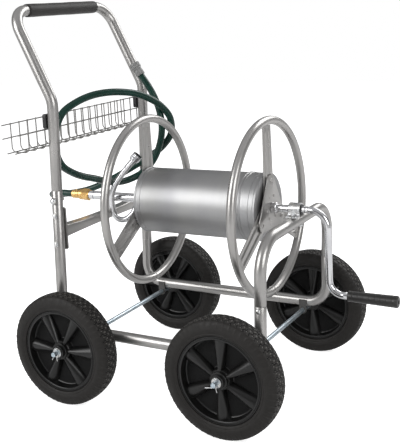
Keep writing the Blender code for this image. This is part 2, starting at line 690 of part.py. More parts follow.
def crank(axis):
    low = REEL_Z - CRANK_THROW
    corners = (
        (CRANK_START_X, 0, REEL_Z),
        (CRANK_DROP_X, 0, REEL_Z),
        (CRANK_DROP_X, 0, low),
        (CRANK_GRIP_X - GAP, 0, low),
    )
    path = bent_path(corners, CRANK_BENDS, steps=6)
    grip_end = CRANK_GRIP_X + CRANK_GRIP_LENGTH
    peg_end = grip_end - 0.006
    radii = [CRANK_RADIUS] * len(path) + [CRANK_PEG_RADIUS] * 2
    path += [Vector((CRANK_GRIP_X, 0, low)), Vector((peg_end, 0, low))]
    add_piece("crank_arm", sweep("crank_arm", path, radii, CRANK_BORE), "chrome", axis)
    bore = CRANK_PEG_RADIUS + RUNNING_CLEARANCE
    start_radius, end_radius = CRANK_GRIP_RADII
    first = GAP
    length = CRANK_GRIP_LENGTH
    profile = [(first, bore), (first, start_radius - 0.001), (0.002, start_radius), (length - 0.003, end_radius)]
    profile += [(length, end_radius - 0.003), (length, 0), (length - 0.004, 0), (length - 0.004, bore)]
    grip_axis = add_axis("crank_grip_axis", (CRANK_GRIP_X, 0, low))
    mesh = turned("crank_grip", profile, (CRANK_GRIP_X, 0, low), (1, 0, 0), steps=20)
    add_piece("crank_grip", mesh, "black_plastic", grip_axis)


def shafts(front_face, axis):
    """Solid shaft in front, under the saddle, and a hollow water spindle behind."""
    start = front_face + GAP
    end = CRANK_START_X - GAP
    length = end - start
    profile = [(0, 0), (0, COLLAR_RADIUS), (COLLAR_LENGTH, COLLAR_RADIUS), (COLLAR_LENGTH, SHAFT_RADIUS)]
    profile += [(length, SHAFT_RADIUS), (length, 0)]
    shaft = turned("front_shaft", profile, (start, 0, REEL_Z), (1, 0, 0), steps=20)
    add_piece("front_shaft", shaft, "chrome", axis)
    inner_end = REEL_X - RING_SPACING / 2 + 0.012
    path = [Vector((SPINDLE_END_X, 0, REEL_Z)), Vector((inner_end, 0, REEL_Z))]
    spindle = sweep("reel_spindle", path, SPINDLE_RADIUS, SPINDLE_BORE, sides=20)
    add_piece("reel_spindle", spindle, "chrome", axis)


def saddle_x():
    return front_post_x(ARCH_TOP_Z)


def saddle_bolt_places():
    outer = SHAFT_RADIUS + RUNNING_CLEARANCE + BUSH_WALL + GAP + SADDLE_THICKNESS
    return (-(outer + SADDLE_FLANGE / 2), outer + SADDLE_FLANGE / 2)


def saddle_bolt_hole(y):
    reach = TUBE_RADIUS + 0.006
    low = (saddle_x(), y, ARCH_TOP_Z - reach)
    return cylinder("hole", low, (saddle_x(), y, ARCH_TOP_Z + reach), BOLT_RADIUS + BOLT_CLEARANCE, sides=12)


def saddle():
    """Omega strap that holds the shaft's bush on the arch's top bar, with a bolt through each foot."""
    x = saddle_x()
    floor = ARCH_TOP_Z + TUBE_RADIUS + GAP
    inner = SHAFT_RADIUS + RUNNING_CLEARANCE + BUSH_WALL + GAP
    outer = inner + SADDLE_THICKNESS
    foot = outer + SADDLE_FLANGE
    arc = np.linspace(0, pi, 11)
    outline = [(foot, floor), (foot, floor + SADDLE_THICKNESS), (outer, floor + SADDLE_THICKNESS)]
    outline += [(outer * cos(a), REEL_Z + outer * sin(a)) for a in arc]
    outline += [(-outer, floor + SADDLE_THICKNESS), (-foot, floor + SADDLE_THICKNESS), (-foot, floor)]
    outline += [(-inner, floor)]
    outline += [(inner * cos(a), REEL_Z + inner * sin(a)) for a in reversed(arc)]
    outline += [(inner, floor)]
    sections = [[(x + end * SADDLE_WIDTH / 2, y, z) for y, z in outline] for end in (-1, 1)]
    holes = [saddle_bolt_hole(y) for y in saddle_bolt_places()]
    add_piece("saddle_strap", cut(loft("saddle_strap", sections), *holes), "zinc")
    for name, y in zip(("saddle_bolt_near", "saddle_bolt_far"), saddle_bolt_places()):
        top = floor + SADDLE_THICKNESS + GAP
        foot_z = ARCH_TOP_Z - TUBE_RADIUS - GAP
        head = BOLT_HEAD_HEIGHT
        profile = [(foot_z - head, 0), (foot_z - head, 0.0052), (foot_z, 0.0052), (foot_z, BOLT_RADIUS)]
        profile += [(top, BOLT_RADIUS), (top, 0.0058), (top + head, 0.0058), (top + head, 0)]
        add_piece(name, turned(name, profile, (x, y, 0), (0, 0, 1), steps=6), "zinc")
    bore = SHAFT_RADIUS + RUNNING_CLEARANCE
    width = SADDLE_WIDTH + 0.004
    bush = [(0, bore), (0, bore + BUSH_WALL), (width, bore + BUSH_WALL), (width, bore)]
    mesh = turned("shaft_bush", bush, (x - width / 2, 0, REEL_Z), (1, 0, 0), steps=20)
    add_piece("shaft_bush", mesh, "black_plastic")


def reel():
    axis = add_axis("reel_axis", (REEL_X, 0, REEL_Z))
    rear_x, front_x = REEL_X - RING_SPACING / 2, REEL_X + RING_SPACING / 2
    for end, x, outward in (("rear", rear_x, -1), ("front", front_x, 1)):
        reel_ring(f"{end}_ring", x, axis)
        for k in range(SPOKES_PER_RING):
            spoke(f"{end}_spoke_{k + 1}", x, outward, 2 * pi * k / SPOKES_PER_RING, axis)
    drum(rear_x, front_x, axis)
    hub_plate("rear_hub_plate", rear_x, -1, SPINDLE_RADIUS, axis)
    front_face = hub_plate("front_hub_plate", front_x, 1, SHAFT_RADIUS, axis)
    shafts(front_face, axis)
    gooseneck(axis)
    crank(axis)


def basket_loop(y):
    """One U-shaped wire across the basket, hooked over both top rails."""
    front, back = BASKET_FRONT_X, BASKET_FRONT_X - BASKET_DEPTH
    low = BASKET_BOTTOM_Z
    back_top = BASKET_TOP_Z - BASKET_BACK_DROP
    corners = ((back, y, back_top), (back, y, low), (front, y, low), (front, y, BASKET_TOP_Z))
    return sweep("loop", bent_path(corners, (BASKET_CORNER, BASKET_CORNER), steps=1), WIRE_RADIUS, sides=4)


def basket():
    """Welded wire tray: long rails joined by U-shaped loops."""
    start, end = BASKET_Y
    pieces = []
    lap = WIRE_RADIUS * 1.2
    front, back = BASKET_FRONT_X, BASKET_FRONT_X - BASKET_DEPTH
    rails = [(front - lap, z) for z in (BASKET_TOP_Z - lap, BASKET_MID_Z)]
    rails += [(back + lap, z - BASKET_BACK_DROP) for z in (BASKET_TOP_Z - lap, BASKET_MID_Z)]
    rails += [(x, BASKET_BOTTOM_Z + lap) for x in np.linspace(front - 0.013, back + 0.013, 2)]
    for x, z in rails:
        ends = [Vector((x, start, z)), Vector((x, end, z))]
        pieces.append(sweep("rail", ends, WIRE_RADIUS, sides=4, phase=0.0))
    near, far = WIRE_OVERHANG
    pieces += [basket_loop(y) for y in np.linspace(start + near, end - far, BASKET_LOOPS)]
    add_piece("wire_basket", join(*pieces), "zinc")
    depth, height = CLIP_SIZE
    for name, side in (("near", -1), ("far", 1)):
        front = rear_post_x(BASKET_MID_Z) - TUBE_RADIUS - GAP
        back_face = BASKET_FRONT_X + WIRE_RADIUS + GAP
        y = side * SIDE_Y
        top = BASKET_TOP_Z + 0.004
        clip = box("clip", (back_face, y - depth / 2, top - height), (front, y + depth / 2, top))
        add_piece(f"basket_clip_{name}", clip, "black_plastic")


def smooth_path(points, spacing):
    """Points at an even spacing on a Catmull-Rom curve through the given points."""
    knots = np.array(points, float)
    ends = np.vstack([2 * knots[0] - knots[1], knots, 2 * knots[-1] - knots[-2]])
    share = np.linspace(0, 1, 24, endpoint=False)[:, None]
    curve = []
    for a, b, c, d in zip(ends, ends[1:], ends[2:], ends[3:]):
        slope, bend = (c - a) / 2, (d - b) / 2
        cubic = 2 * b - 2 * c + slope + bend
        square = -3 * b + 3 * c - 2 * slope - bend
        curve.append(cubic * share**3 + square * share**2 + slope * share + b)
    curve = np.vstack([*curve, knots[-1]])
    steps = np.linalg.norm(np.diff(curve, axis=0), axis=1)
    travel = np.concatenate([[0], np.cumsum(steps)])
    places = np.linspace(0, travel[-1], round(travel[-1] / spacing) + 1)
    return [Vector([np.interp(place, travel, curve[:, k]) for k in range(3)]) for place in places]


def water_inlet():
    path = [Vector((SPINDLE_END_X - GAP, 0, REEL_Z)), Vector((INLET_PIPE_END_X, 0, REEL_Z))]
    pipe = sweep("swivel_inlet", path, SPINDLE_RADIUS, SPINDLE_BORE, sides=20)
    add_piece("swivel_inlet", pipe, "chrome")
    start = INLET_PIPE_END_X - GAP
    nut_end = BRASS_NUT_LENGTH
    end = nut_end + BRASS_COLLAR_LENGTH
    profile = [(0, SPINDLE_BORE), (0, BRASS_NUT_RADIUS), (nut_end, BRASS_NUT_RADIUS), (nut_end, BRASS_COLLAR_RADIUS)]
    profile += [(end, BRASS_COLLAR_RADIUS), (end, SPINDLE_BORE)]
    nut = turned("brass_connector", profile, (start, 0, REEL_Z), (-1, 0, 0), steps=18)
    add_piece("brass_connector", nut, "brass")
    return start - end


def leader_hose(start_x):
    route = [(start_x - GAP, 0, REEL_Z), *HOSE_ROUTE[1:]]
    points = smooth_path(route, HOSE_SPACING)
    curve = bpy.data.curves.new("leader_hose", "CURVE")
    curve.dimensions = "3D"
    curve.bevel_depth = HOSE_RADIUS
    curve.bevel_resolution = 2
    curve.use_fill_caps = True
    spline = curve.splines.new("POLY")
    spline.points.add(len(points) - 1)
    for place, point in zip(spline.points, points):
        place.co = (*point, 1.0)
    hose = bpy.data.objects.new("leader_hose", curve)
    curve.materials.append(make_material("leader_hose", "hose_vinyl"))
    bpy.context.collection.objects.link(hose)
    direction = (points[-1] - points[-2]).normalized()
    length, outer = HOSE_COUPLING_LENGTH, HOSE_COUPLING_RADIUS
    profile = [(0, 0), (0, outer - 0.002), (0.002, outer), (length, outer), (length, HOSE_COUPLING_BORE)]
    profile += [(length * 0.4, HOSE_COUPLING_BORE), (length * 0.4, 0)]
    coupling = turned("hose_coupling", profile, points[-1] + direction * GAP, direction, steps=18)
    add_piece("hose_coupling", coupling, "grey_plastic")


def main():
    clear_scene()
    side_tube("near_side_tube", -1)
    side_tube("far_side_tube", 1)
    front_arch()
    handle()
    rear_cross_beam()
    for name, side in (("near", -1), ("far", 1)):
        frame_bolt(f"handle_bolt_{name}", side, HANDLE_BOLT_Z, HANDLE_BOLT_RADIUS, HANDLE_BOLT_HEAD)
        for label, height in zip(("lower", "upper"), BEAM_BOLT_Z):
            frame_bolt(f"beam_bolt_{name}_{label}", side, height)
    wheels()
    reel()
    saddle()
    basket()
    leader_hose(water_inlet())


main()
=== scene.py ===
"""A four-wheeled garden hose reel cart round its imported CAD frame. Metres, +Z up, +X towards the crank."""

import bmesh
import bpy
import numpy as np
from mathutils import Matrix, Vector


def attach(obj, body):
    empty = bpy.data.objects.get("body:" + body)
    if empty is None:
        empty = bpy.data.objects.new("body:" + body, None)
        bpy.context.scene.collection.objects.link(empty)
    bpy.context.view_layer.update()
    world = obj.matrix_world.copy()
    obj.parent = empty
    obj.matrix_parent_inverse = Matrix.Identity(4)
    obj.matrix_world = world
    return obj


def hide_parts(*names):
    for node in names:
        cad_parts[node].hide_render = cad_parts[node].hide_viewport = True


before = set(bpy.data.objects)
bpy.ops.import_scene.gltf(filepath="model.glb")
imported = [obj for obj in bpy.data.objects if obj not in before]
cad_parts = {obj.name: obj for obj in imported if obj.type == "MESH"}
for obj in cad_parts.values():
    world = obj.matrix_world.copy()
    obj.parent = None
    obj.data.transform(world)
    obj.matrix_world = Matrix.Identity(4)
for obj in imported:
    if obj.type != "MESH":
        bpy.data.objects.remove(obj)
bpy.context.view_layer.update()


# Camera: a long lens, low and in front of the near front wheel, a little tilted.
CAMERA_PLACE = (0.9049, -1.7353, 0.8586)
CAMERA_YAW = np.radians(32.64)
CAMERA_PITCH = np.radians(9.52)
CAMERA_ROLL = np.radians(-3.65)
SENSOR_WIDTH = 36.0
FOCAL_SHARE = 884.07 / 400
camera_data = bpy.data.cameras.new("camera")
camera_data.sensor_fit = "HORIZONTAL"
camera_data.sensor_width = SENSOR_WIDTH
camera_data.lens = FOCAL_SHARE * SENSOR_WIDTH
camera_data.shift_x = 0.1594
camera_data.shift_y = -0.1567
camera_data.clip_start = 0.05
camera = bpy.data.objects.new("camera", camera_data)
camera.location = CAMERA_PLACE
turn = Matrix.Rotation(CAMERA_YAW, 3, "Z") @ Matrix.Rotation(np.pi / 2 - CAMERA_PITCH, 3, "X")
camera.rotation_euler = (turn @ Matrix.Rotation(CAMERA_ROLL, 3, "Z")).to_euler()
bpy.context.collection.objects.link(camera)
bpy.context.scene.camera = camera
bpy.context.scene.view_settings.view_transform = "Standard"


# Studio: a white floor, a white backdrop that the steel sees as a darker room, and three large soft lights.
FLOOR_SIZE = 14.0
half_floor = FLOOR_SIZE / 2
floor_corners = [(x, y, 0) for x, y in ((-1, -1), (1, -1), (1, 1), (-1, 1))]
floor_mesh = bpy.data.meshes.new("floor")
floor_mesh.from_pydata([(half_floor * x, half_floor * y, z) for x, y, z in floor_corners], [], [(0, 1, 2, 3)])
floor = bpy.data.objects.new("floor", floor_mesh)
bpy.context.collection.objects.link(floor)
floor_paint = bpy.data.materials.new("floor")
floor_paint.use_nodes = True
floor_shader = floor_paint.node_tree.nodes["Principled BSDF"]
floor_shader.inputs["Base Color"].default_value = (0.86, 0.86, 0.86, 1)
floor_shader.inputs["Roughness"].default_value = 0.9
floor_shader.inputs["Specular IOR Level"].default_value = 0.1
floor_shader.inputs["Emission Color"].default_value = (1, 1, 1, 1)
floor_nodes = floor_paint.node_tree
floor_seen = floor_nodes.nodes.new("ShaderNodeLightPath")
floor_glow = floor_nodes.nodes.new("ShaderNodeMath")
floor_glow.operation = "MULTIPLY_ADD"
floor_glow.inputs[1].default_value = 0.72
floor_glow.inputs[2].default_value = 0.08
floor_nodes.links.new(floor_seen.outputs["Is Camera Ray"], floor_glow.inputs[0])
floor_nodes.links.new(floor_glow.outputs[0], floor_shader.inputs["Emission Strength"])
floor_mesh.materials.append(floor_paint)

world = bpy.data.worlds.new("room")
world.use_nodes = True
bpy.context.scene.world = world
room = world.node_tree
direction = room.nodes.new("ShaderNodeTexCoord")
split = room.nodes.new("ShaderNodeSeparateXYZ")
ramp = room.nodes.new("ShaderNodeValToRGB")
seen = room.nodes.new("ShaderNodeLightPath")
backdrop = room.nodes.new("ShaderNodeBackground")
choice = room.nodes.new("ShaderNodeMixShader")
room.links.new(direction.outputs["Generated"], split.inputs[0])
room.links.new(split.outputs["Z"], ramp.inputs[0])
room.links.new(ramp.outputs[0], room.nodes["Background"].inputs[0])
room.links.new(seen.outputs["Is Camera Ray"], choice.inputs[0])
room.links.new(room.nodes["Background"].outputs[0], choice.inputs[1])
room.links.new(backdrop.outputs[0], choice.inputs[2])
room.links.new(choice.outputs[0], room.nodes["World Output"].inputs[0])
backdrop.inputs[0].default_value = (1, 1, 1, 1)
ramp.color_ramp.elements[0].position = 0.0
ramp.color_ramp.elements[0].color = (0.60, 0.60, 0.60, 1)
ramp.color_ramp.elements[1].position = 0.80
ramp.color_ramp.elements[1].color = (0.55, 0.55, 0.56, 1)
for position, level in ((0.10, 0.34), (0.35, 0.16)):
    ramp.color_ramp.elements.new(position).color = (level, level, level, 1)


def soft_light(name, place, target, size, power):
    """A large square area light that faces a point."""
    data = bpy.data.lights.new(name, "AREA")
    data.size = size
    data.energy = power
    light = bpy.data.objects.new(name, data)
    light.location = place
    light.rotation_euler = (Vector(target) - Vector(place)).to_track_quat("-Z", "Y").to_euler()
    bpy.context.collection.objects.link(light)


CART_MIDDLE = (0.0, 0.0, 0.4)
soft_light("key_light", (-1.6, -2.6, 1.9), CART_MIDDLE, 2.2, 72)
soft_light("fill_light", (2.8, -1.2, 1.6), CART_MIDDLE, 1.8, 40)
soft_light("back_light", (0.8, 2.8, 2.4), CART_MIDDLE, 2.0, 50)


# Side frames: one round steel tube on each side, bent up at both ends into the rear post and the front post.
# Cold drawn tube, cleaned and sprayed with silver paint before the other tubes are pushed in and bolted.
GAP = 0.0003
TUBE_RADIUS = 0.0125
TUBE_BORE = 0.0110
SIDE_Y = 0.189
RAIL_Z = 0.146
REAR_POST_X = -0.314
FRONT_POST_X = 0.182
POST_LEAN = 0.035
FRAME_BEND = 0.048
HANDLE_JOINT_Z = 0.471
ARCH_JOINT_Z = 0.262
CHAMFER = 0.0009


def unit(vectors):
    """Each vector divided by its length."""
    return vectors / np.maximum(np.linalg.norm(vectors, axis=-1, keepdims=True), 1e-12)


def path_directions(path, closed=False):
    """Tangent, side and rise at each point of a path. The side turns as little as it can between points."""
    ahead = unit(np.roll(path, -1, axis=0) - path)
    back = unit(path - np.roll(path, 1, axis=0))
    if not closed:
        ahead[-1], back[0] = back[-1], ahead[0]
    tangent = unit(ahead + back)
    side = np.empty_like(path)
    current = np.eye(3)[np.argmin(np.abs(tangent[0]))]
    for station, along in enumerate(tangent):
        current = unit(current - along * current.dot(along))
        side[station] = current
    return tangent, side, np.cross(tangent, side)


def grid_faces(rows, columns, wrap_rows, wrap_columns):
    """Quads between neighbouring points of a grid, joined round where it wraps."""
    number = np.arange(rows * columns).reshape(rows, columns)
    if wrap_rows:
        number = np.vstack([number, number[:1]])
    if wrap_columns:
        number = np.hstack([number, number[:, :1]])
    corners = number[:-1, :-1], number[:-1, 1:], number[1:, 1:], number[1:, :-1]
    return np.stack([corner.ravel() for corner in corners], axis=1)


def grid_shell(points, wrap_rows=False, wrap_columns=True):
    """A surface from a grid of points, rows by columns by 3."""
    rows, columns = points.shape[:2]
    return points.reshape(-1, 3), grid_faces(rows, columns, wrap_rows, wrap_columns)


def tube(path, radius, sides=28, bore=None, closed=False):
    """p(s, a) = path(s) + r(s) (cos a side(s) + sin a rise(s)). A bore is that surface at its own radius."""
    path = np.asarray(path, float)
    _, side, rise = path_directions(path, closed)
    angle = np.linspace(0, 2 * np.pi, sides, endpoint=False)[None, :, None]
    ring = side[:, None] * np.cos(angle) + rise[:, None] * np.sin(angle)
    radius = np.broadcast_to(np.asarray(radius, float), len(path))[:, None, None]
    outside = path[:, None] + ring * radius
    if closed:
        return grid_shell(outside, wrap_rows=True)
    if bore:
        inside = (path[:, None] + ring * bore)[::-1]
        return grid_shell(np.concatenate([outside, inside]), wrap_rows=True)
    ends = path[[0, -1], None] + 0 * ring[[0, -1]]
    return grid_shell(np.concatenate([ends[:1], outside, ends[1:]]))


def bent_path(corners, bends, steps=14):
    """Straight runs, with an arc p(a) = centre + bend (cos a u + sin a v) at each inner corner."""
    corners = np.asarray(corners, float)
    path = [corners[:1]]
    for before, corner, after, bend in zip(corners, corners[1:], corners[2:], bends):
        back, ahead = unit(before - corner), unit(after - corner)
        half = np.arccos(back @ ahead) / 2
        centre = corner + unit(back + ahead) * bend / np.sin(half)
        first = unit(corner + back * bend / np.tan(half) - centre)
        last = unit(corner + ahead * bend / np.tan(half) - centre)
        across = unit(last - first * (last @ first))
        angle = np.linspace(0, np.pi - 2 * half, steps + 1)[:, None]
        path.append(centre + bend * (np.cos(angle) * first + np.sin(angle) * across))
    return np.vstack([*path, corners[-1:]])


def chamfered(path, radius, size=CHAMFER):
    """The path with a point just inside each end, and the radii that break the tube's end edges."""
    first, last = unit(path[1] - path[0]), unit(path[-2] - path[-1])
    path = np.vstack([path[0], path[0] + first * size, path[1:-1], path[-1] + last * size, path[-1]])
    radii = np.full(len(path), radius)
    radii[[0, -1]] -= size * 0.7
    return path, radii


def put(name, shell, material, body, replaced=(), sharp=40.0, bevel=0.0, shading_and_dust=None):
    """Makes a surface a piece that rides on a body. Its value at each point, painted shade and highlight (on
    the tyres partly dust), is for the material to read.
    """
    points, faces = shell
    mesh = bpy.data.meshes.new(name)
    mesh.from_pydata(np.asarray(points).tolist(), [], [list(face) for face in faces])
    if shading_and_dust is not None:
        mesh.attributes.new("shading_and_dust", "FLOAT", "POINT").data.foreach_set("value", np.ravel(shading_and_dust))
    shape = bmesh.new()
    shape.from_mesh(mesh)
    bmesh.ops.remove_doubles(shape, verts=shape.verts, dist=1e-6)
    bmesh.ops.dissolve_degenerate(shape, edges=shape.edges, dist=1e-7)
    bmesh.ops.recalc_face_normals(shape, faces=shape.faces)
    shape.to_mesh(mesh)
    shape.free()
    mesh.shade_smooth()
    mesh.set_sharp_from_angle(angle=np.radians(sharp))
    mesh.materials.append(material)
    piece = bpy.data.objects.new(name, mesh)
    bpy.context.collection.objects.link(piece)
    if bevel:
        edge = piece.modifiers.new("soft edges", "BEVEL")
        edge.width = bevel
        edge.segments = 2
        edge.limit_method = "ANGLE"
        edge.angle_limit = np.radians(35)
        edge.harden_normals = False
    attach(piece, body)
    if replaced:
        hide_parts(*([replaced] if isinstance(replaced, str) else replaced))
    return piece


class Finish:
    """A node material: Principled, with helpers that add noise, ramps and bump on Object coordinates."""

    def __init__(self, name, colour, metallic=0.0, roughness=0.5):
        self.material = bpy.data.materials.new(name)
        self.material.use_nodes = True
        self.tree = self.material.node_tree
        self.shader = self.tree.nodes["Principled BSDF"]
        self.shader.inputs["Base Color"].default_value = (*colour, 1)
        self.shader.inputs["Metallic"].default_value = metallic
        self.shader.inputs["Roughness"].default_value = roughness
        self.place = self.tree.nodes.new("ShaderNodeTexCoord").outputs["Object"]

    def node(self, kind, **values):
        node = self.tree.nodes.new(kind)
        for key, value in values.items():
            setattr(node, key, value)
        return node

    def link(self, start, end):
        self.tree.links.new(start, end)

    def stretched(self, scale, centre=(0, 0, 0)):
        """Object coordinates about a centre, stretched on each axis."""
        mapping = self.node("ShaderNodeMapping", vector_type="POINT")
        mapping.inputs["Scale"].default_value = scale
        mapping.inputs["Location"].default_value = [-c * s for c, s in zip(centre, scale)]
        self.link(self.place, mapping.inputs["Vector"])
        return mapping.outputs[0]

    def noise(self, scale, detail=3.0, roughness=0.55, where=None):
        noise = self.node("ShaderNodeTexNoise")
        noise.inputs["Scale"].default_value = scale
        noise.inputs["Detail"].default_value = detail
        noise.inputs["Roughness"].default_value = roughness
        self.link(where or self.place, noise.inputs["Vector"])
        return noise.outputs["Fac"]

    def colours(self, amount, stops):
        ramp = self.node("ShaderNodeValToRGB")
        elements = ramp.color_ramp.elements
        for element, (position, colour) in zip(elements, (stops[0], stops[-1])):
            element.position = position
            element.color = (*colour, 1)
        for position, colour in stops[1:-1]:
            elements.new(position).color = (*colour, 1)
        self.link(amount, ramp.inputs["Fac"])
        self.link(ramp.outputs["Color"], self.shader.inputs["Base Color"])
        return ramp.outputs["Color"]

    def roughness(self, amount, low, high):
        spread = self.node("ShaderNodeMapRange")
        spread.inputs["From Min"].default_value = 0.3
        spread.inputs["From Max"].default_value = 0.7
        spread.inputs["To Min"].default_value = low
        spread.inputs["To Max"].default_value = high
        self.link(amount, spread.inputs["Value"])
        self.link(spread.outputs["Result"], self.shader.inputs["Roughness"])

    def bump(self, height, distance, strength=1.0):
        bump = self.node("ShaderNodeBump")
        bump.inputs["Strength"].default_value = strength
        bump.inputs["Distance"].default_value = distance
        previous = self.shader.inputs["Normal"]
        if previous.is_linked:
            self.link(previous.links[0].from_socket, bump.inputs["Normal"])
        self.link(height, bump.inputs["Height"])
        self.link(bump.outputs["Normal"], previous)

    def arithmetic(self, operation, first, second=None):
        node = self.node("ShaderNodeMath", operation=operation)
        for socket, value in zip(node.inputs, (first, second)):
            if value is None:
                continue
            if isinstance(value, (int, float)):
                socket.default_value = value
            else:
                self.link(value, socket)
        return node.outputs[0]


def rear_post_x(height):
    """Where the leaning rear post stands at a height."""
    return REAR_POST_X + POST_LEAN * (height - RAIL_Z)


def front_post_x(height):
    return FRONT_POST_X + POST_LEAN * (height - RAIL_Z)


def sprayed_silver(name, colour, roughness):
    """Silver spray paint: metal flake in a clear binder, a faint orange peel and duller patches."""
    paint = Finish(name, colour, metallic=0.85, roughness=roughness)
    cloud = paint.noise(9, 5, 0.6)
    dark, light = [tuple(c * k for c in colour) for k in (0.94, 1.05)]
    paint.colours(cloud, ((0.36, dark), (0.52, colour), (0.66, light)))
    paint.roughness(paint.noise(26, 4), roughness - 0.03, roughness + 0.05)
    paint.bump(paint.noise(90, 2), 0.00004, 0.12)
    return paint


frame_paint = sprayed_silver("frame_paint", (0.385, 0.377, 0.367), 0.30)
for side_name, side in (("near", -1), ("far", 1)):
    y = side * SIDE_Y
    side_corners = (
        (rear_post_x(HANDLE_JOINT_Z), y, HANDLE_JOINT_Z), (REAR_POST_X, y, RAIL_Z),
        (FRONT_POST_X, y, RAIL_Z), (front_post_x(ARCH_JOINT_Z), y, ARCH_JOINT_Z),
    )
    run, radii = chamfered(bent_path(side_corners, (FRAME_BEND, FRAME_BEND)), TUBE_RADIUS)
    put(f"{side_name}_side_frame", tube(run, radii, 40, TUBE_BORE), frame_paint.material, "frame",
        f"{side_name}_side_tube")


# Front arch: the tube between the front posts, with reduced ends that slip into them. Its level top bar
# carries the reel's front bearing. The same silver paint as the side frames.
ARCH_TOP_Z = 0.3915
ARCH_BEND = 0.070
arch_foot = (front_post_x(ARCH_JOINT_Z + GAP), SIDE_Y, ARCH_JOINT_Z + GAP)
arch_top = (front_post_x(ARCH_TOP_Z), SIDE_Y, ARCH_TOP_Z)
near_corners = ((arch_foot[0], -SIDE_Y, arch_foot[2]), (arch_top[0], -SIDE_Y, arch_top[2]))
arch_corners = (*near_corners, arch_top, arch_foot)
run, radii = chamfered(bent_path(arch_corners, (ARCH_BEND, ARCH_BEND)), TUBE_RADIUS)
put("front_arch", tube(run, radii, 40, 0.008), frame_paint.material, "frame", "front_arch_tube")


# Push handle: one tube bent into a U, its legs kinked back at the knee and pushed into the rear posts.
# The bar across the top carries a sleeve of closed-cell foam, slid on wet before the bar is bent.
KNEE_Z = 0.672
KNEE_BEND = 0.060
HANDLE_BAR_X = -0.393
HANDLE_BAR_Z = 0.8735
HANDLE_CORNER_BEND = 0.050
GRIP_LENGTH = 0.270
GRIP_RADIUS = 0.0150


def turned(profile, origin, axis, steps=64, closed=True):
    """p(k, a) = origin + h(k) axis + r(k) (cos a side + sin a rise), for profile points (h, r)."""
    profile = np.asarray(profile, float)
    axis = unit(np.asarray(axis, float))
    side = unit(np.cross(axis, np.eye(3)[np.argmin(np.abs(axis))]))
    rise = np.cross(axis, side)
    angle = np.linspace(0, 2 * np.pi, steps, endpoint=False)[None, :, None]
    ring = side * np.cos(angle) + rise * np.sin(angle)
    height, radius = profile[:, 0, None, None], profile[:, 1, None, None]
    return grid_shell(np.asarray(origin, float) + height * axis + radius * ring, wrap_rows=closed)


handle_foot = (rear_post_x(HANDLE_JOINT_Z + GAP), SIDE_Y, HANDLE_JOINT_Z + GAP)
handle_knee = (rear_post_x(KNEE_Z), SIDE_Y, KNEE_Z)
handle_corner = (HANDLE_BAR_X, SIDE_Y, HANDLE_BAR_Z)
near_leg = [(x, -y, z) for x, y, z in (handle_foot, handle_knee, handle_corner)]
handle_bends = (KNEE_BEND, HANDLE_CORNER_BEND, HANDLE_CORNER_BEND, KNEE_BEND)
handle_path = bent_path((*near_leg, handle_corner, handle_knee, handle_foot), handle_bends, 18)
run, radii = chamfered(handle_path, TUBE_RADIUS)
put("push_handle", tube(run, radii, 40, 0.008), frame_paint.material, "frame", "handle_tube")

foam = Finish("grip_foam", (0.014, 0.012, 0.011), roughness=0.55)
foam.colours(foam.noise(55, 5), ((0.3, (0.011, 0.0095, 0.0088)), (0.7, (0.018, 0.0155, 0.0142))))
foam.bump(foam.noise(620, 4, 0.7), 0.0003, 0.35)
foam.bump(foam.noise(70, 2), 0.0006, 0.15)
foam.shader.inputs["Sheen Weight"].default_value = 0.05
foam.shader.inputs["Sheen Roughness"].default_value = 0.5
foam.shader.inputs["Specular IOR Level"].default_value = 0.40
along = np.linspace(0.004, GRIP_LENGTH - 0.004, 61)
swell = GRIP_RADIUS + 0.0003 * np.sin(along * 61) * np.sin(along * 23 + 1.0)
foam_profile = [(0, TUBE_RADIUS + GAP), (0, GRIP_RADIUS - 0.0012), (0.0012, GRIP_RADIUS - 0.0003)]
foam_profile += list(zip(along, swell))
foam_profile += [(GRIP_LENGTH - 0.0012, GRIP_RADIUS - 0.0003), (GRIP_LENGTH, GRIP_RADIUS - 0.0012)]
foam_profile += [(GRIP_LENGTH, TUBE_RADIUS + GAP)]
grip_start = (HANDLE_BAR_X, -GRIP_LENGTH / 2, HANDLE_BAR_Z)
put("foam_handle_grip", turned(foam_profile, grip_start, (0, 1, 0), 48), foam.material, "frame",
    "handle_grip")


# Frame bolts: zinc-plated round-headed bolts through the rear posts, with a washer under each head and a
# hexagon nut on the inner side. The pair that locks the handle has deep knob-like heads. Shorter ones lock
# the arch.
BOLT_RADIUS = 0.003
BOLT_HEAD_RADIUS = 0.0062
BOLT_HEAD = 0.0042
HANDLE_BOLT_Z = 0.448
HANDLE_BOLT_RADIUS = 0.0078
HANDLE_BOLT_HEAD = 0.0085
BEAM_BOLT_Z = (0.3474, 0.4135)
ARCH_BOLT_Z = 0.2535
PLATE_THICKNESS = 0.003
WASHER_THICKNESS = 0.0008

zinc = Finish("bright_zinc", (0.60, 0.61, 0.63), metallic=1.0, roughness=0.28)
zinc.colours(zinc.noise(90, 4), ((0.35, (0.46, 0.46, 0.46)), (0.5, (0.60, 0.61, 0.62)),
    (0.7, (0.66, 0.64, 0.60))))
zinc.roughness(zinc.noise(240, 3), 0.20, 0.42)
zinc.bump(zinc.noise(900, 2), 0.00004, 0.5)


def joined(*shells):
    """Several surfaces as one list of points and one of faces."""
    points, faces, start = [], [], 0
    for shell_points, shell_faces in shells:
        points.append(shell_points)
        faces += [[corner + start for corner in face] for face in np.asarray(shell_faces, object).tolist()]
        start += len(shell_points)
    return np.vstack(points), faces


def domed_head(base, radius, height, washer=0.0):
    """Profile (h, r) of a bolt head with a rounded top, r = radius cos(a), and of the washer under it."""
    angle = np.linspace(0.15, np.pi / 2, 9)
    rim = base + height * 0.35
    dome = list(zip(rim + (height * 0.65) * np.sin(angle), radius * np.cos(angle)))
    if not washer:
        return [(base, BOLT_RADIUS), (base, radius), (rim, radius)] + dome
    seat = base + WASHER_THICKNESS
    under = [(base, BOLT_RADIUS), (base, radius + washer), (seat, radius + washer), (seat, radius)]
    return under + [(rim, radius)] + dome


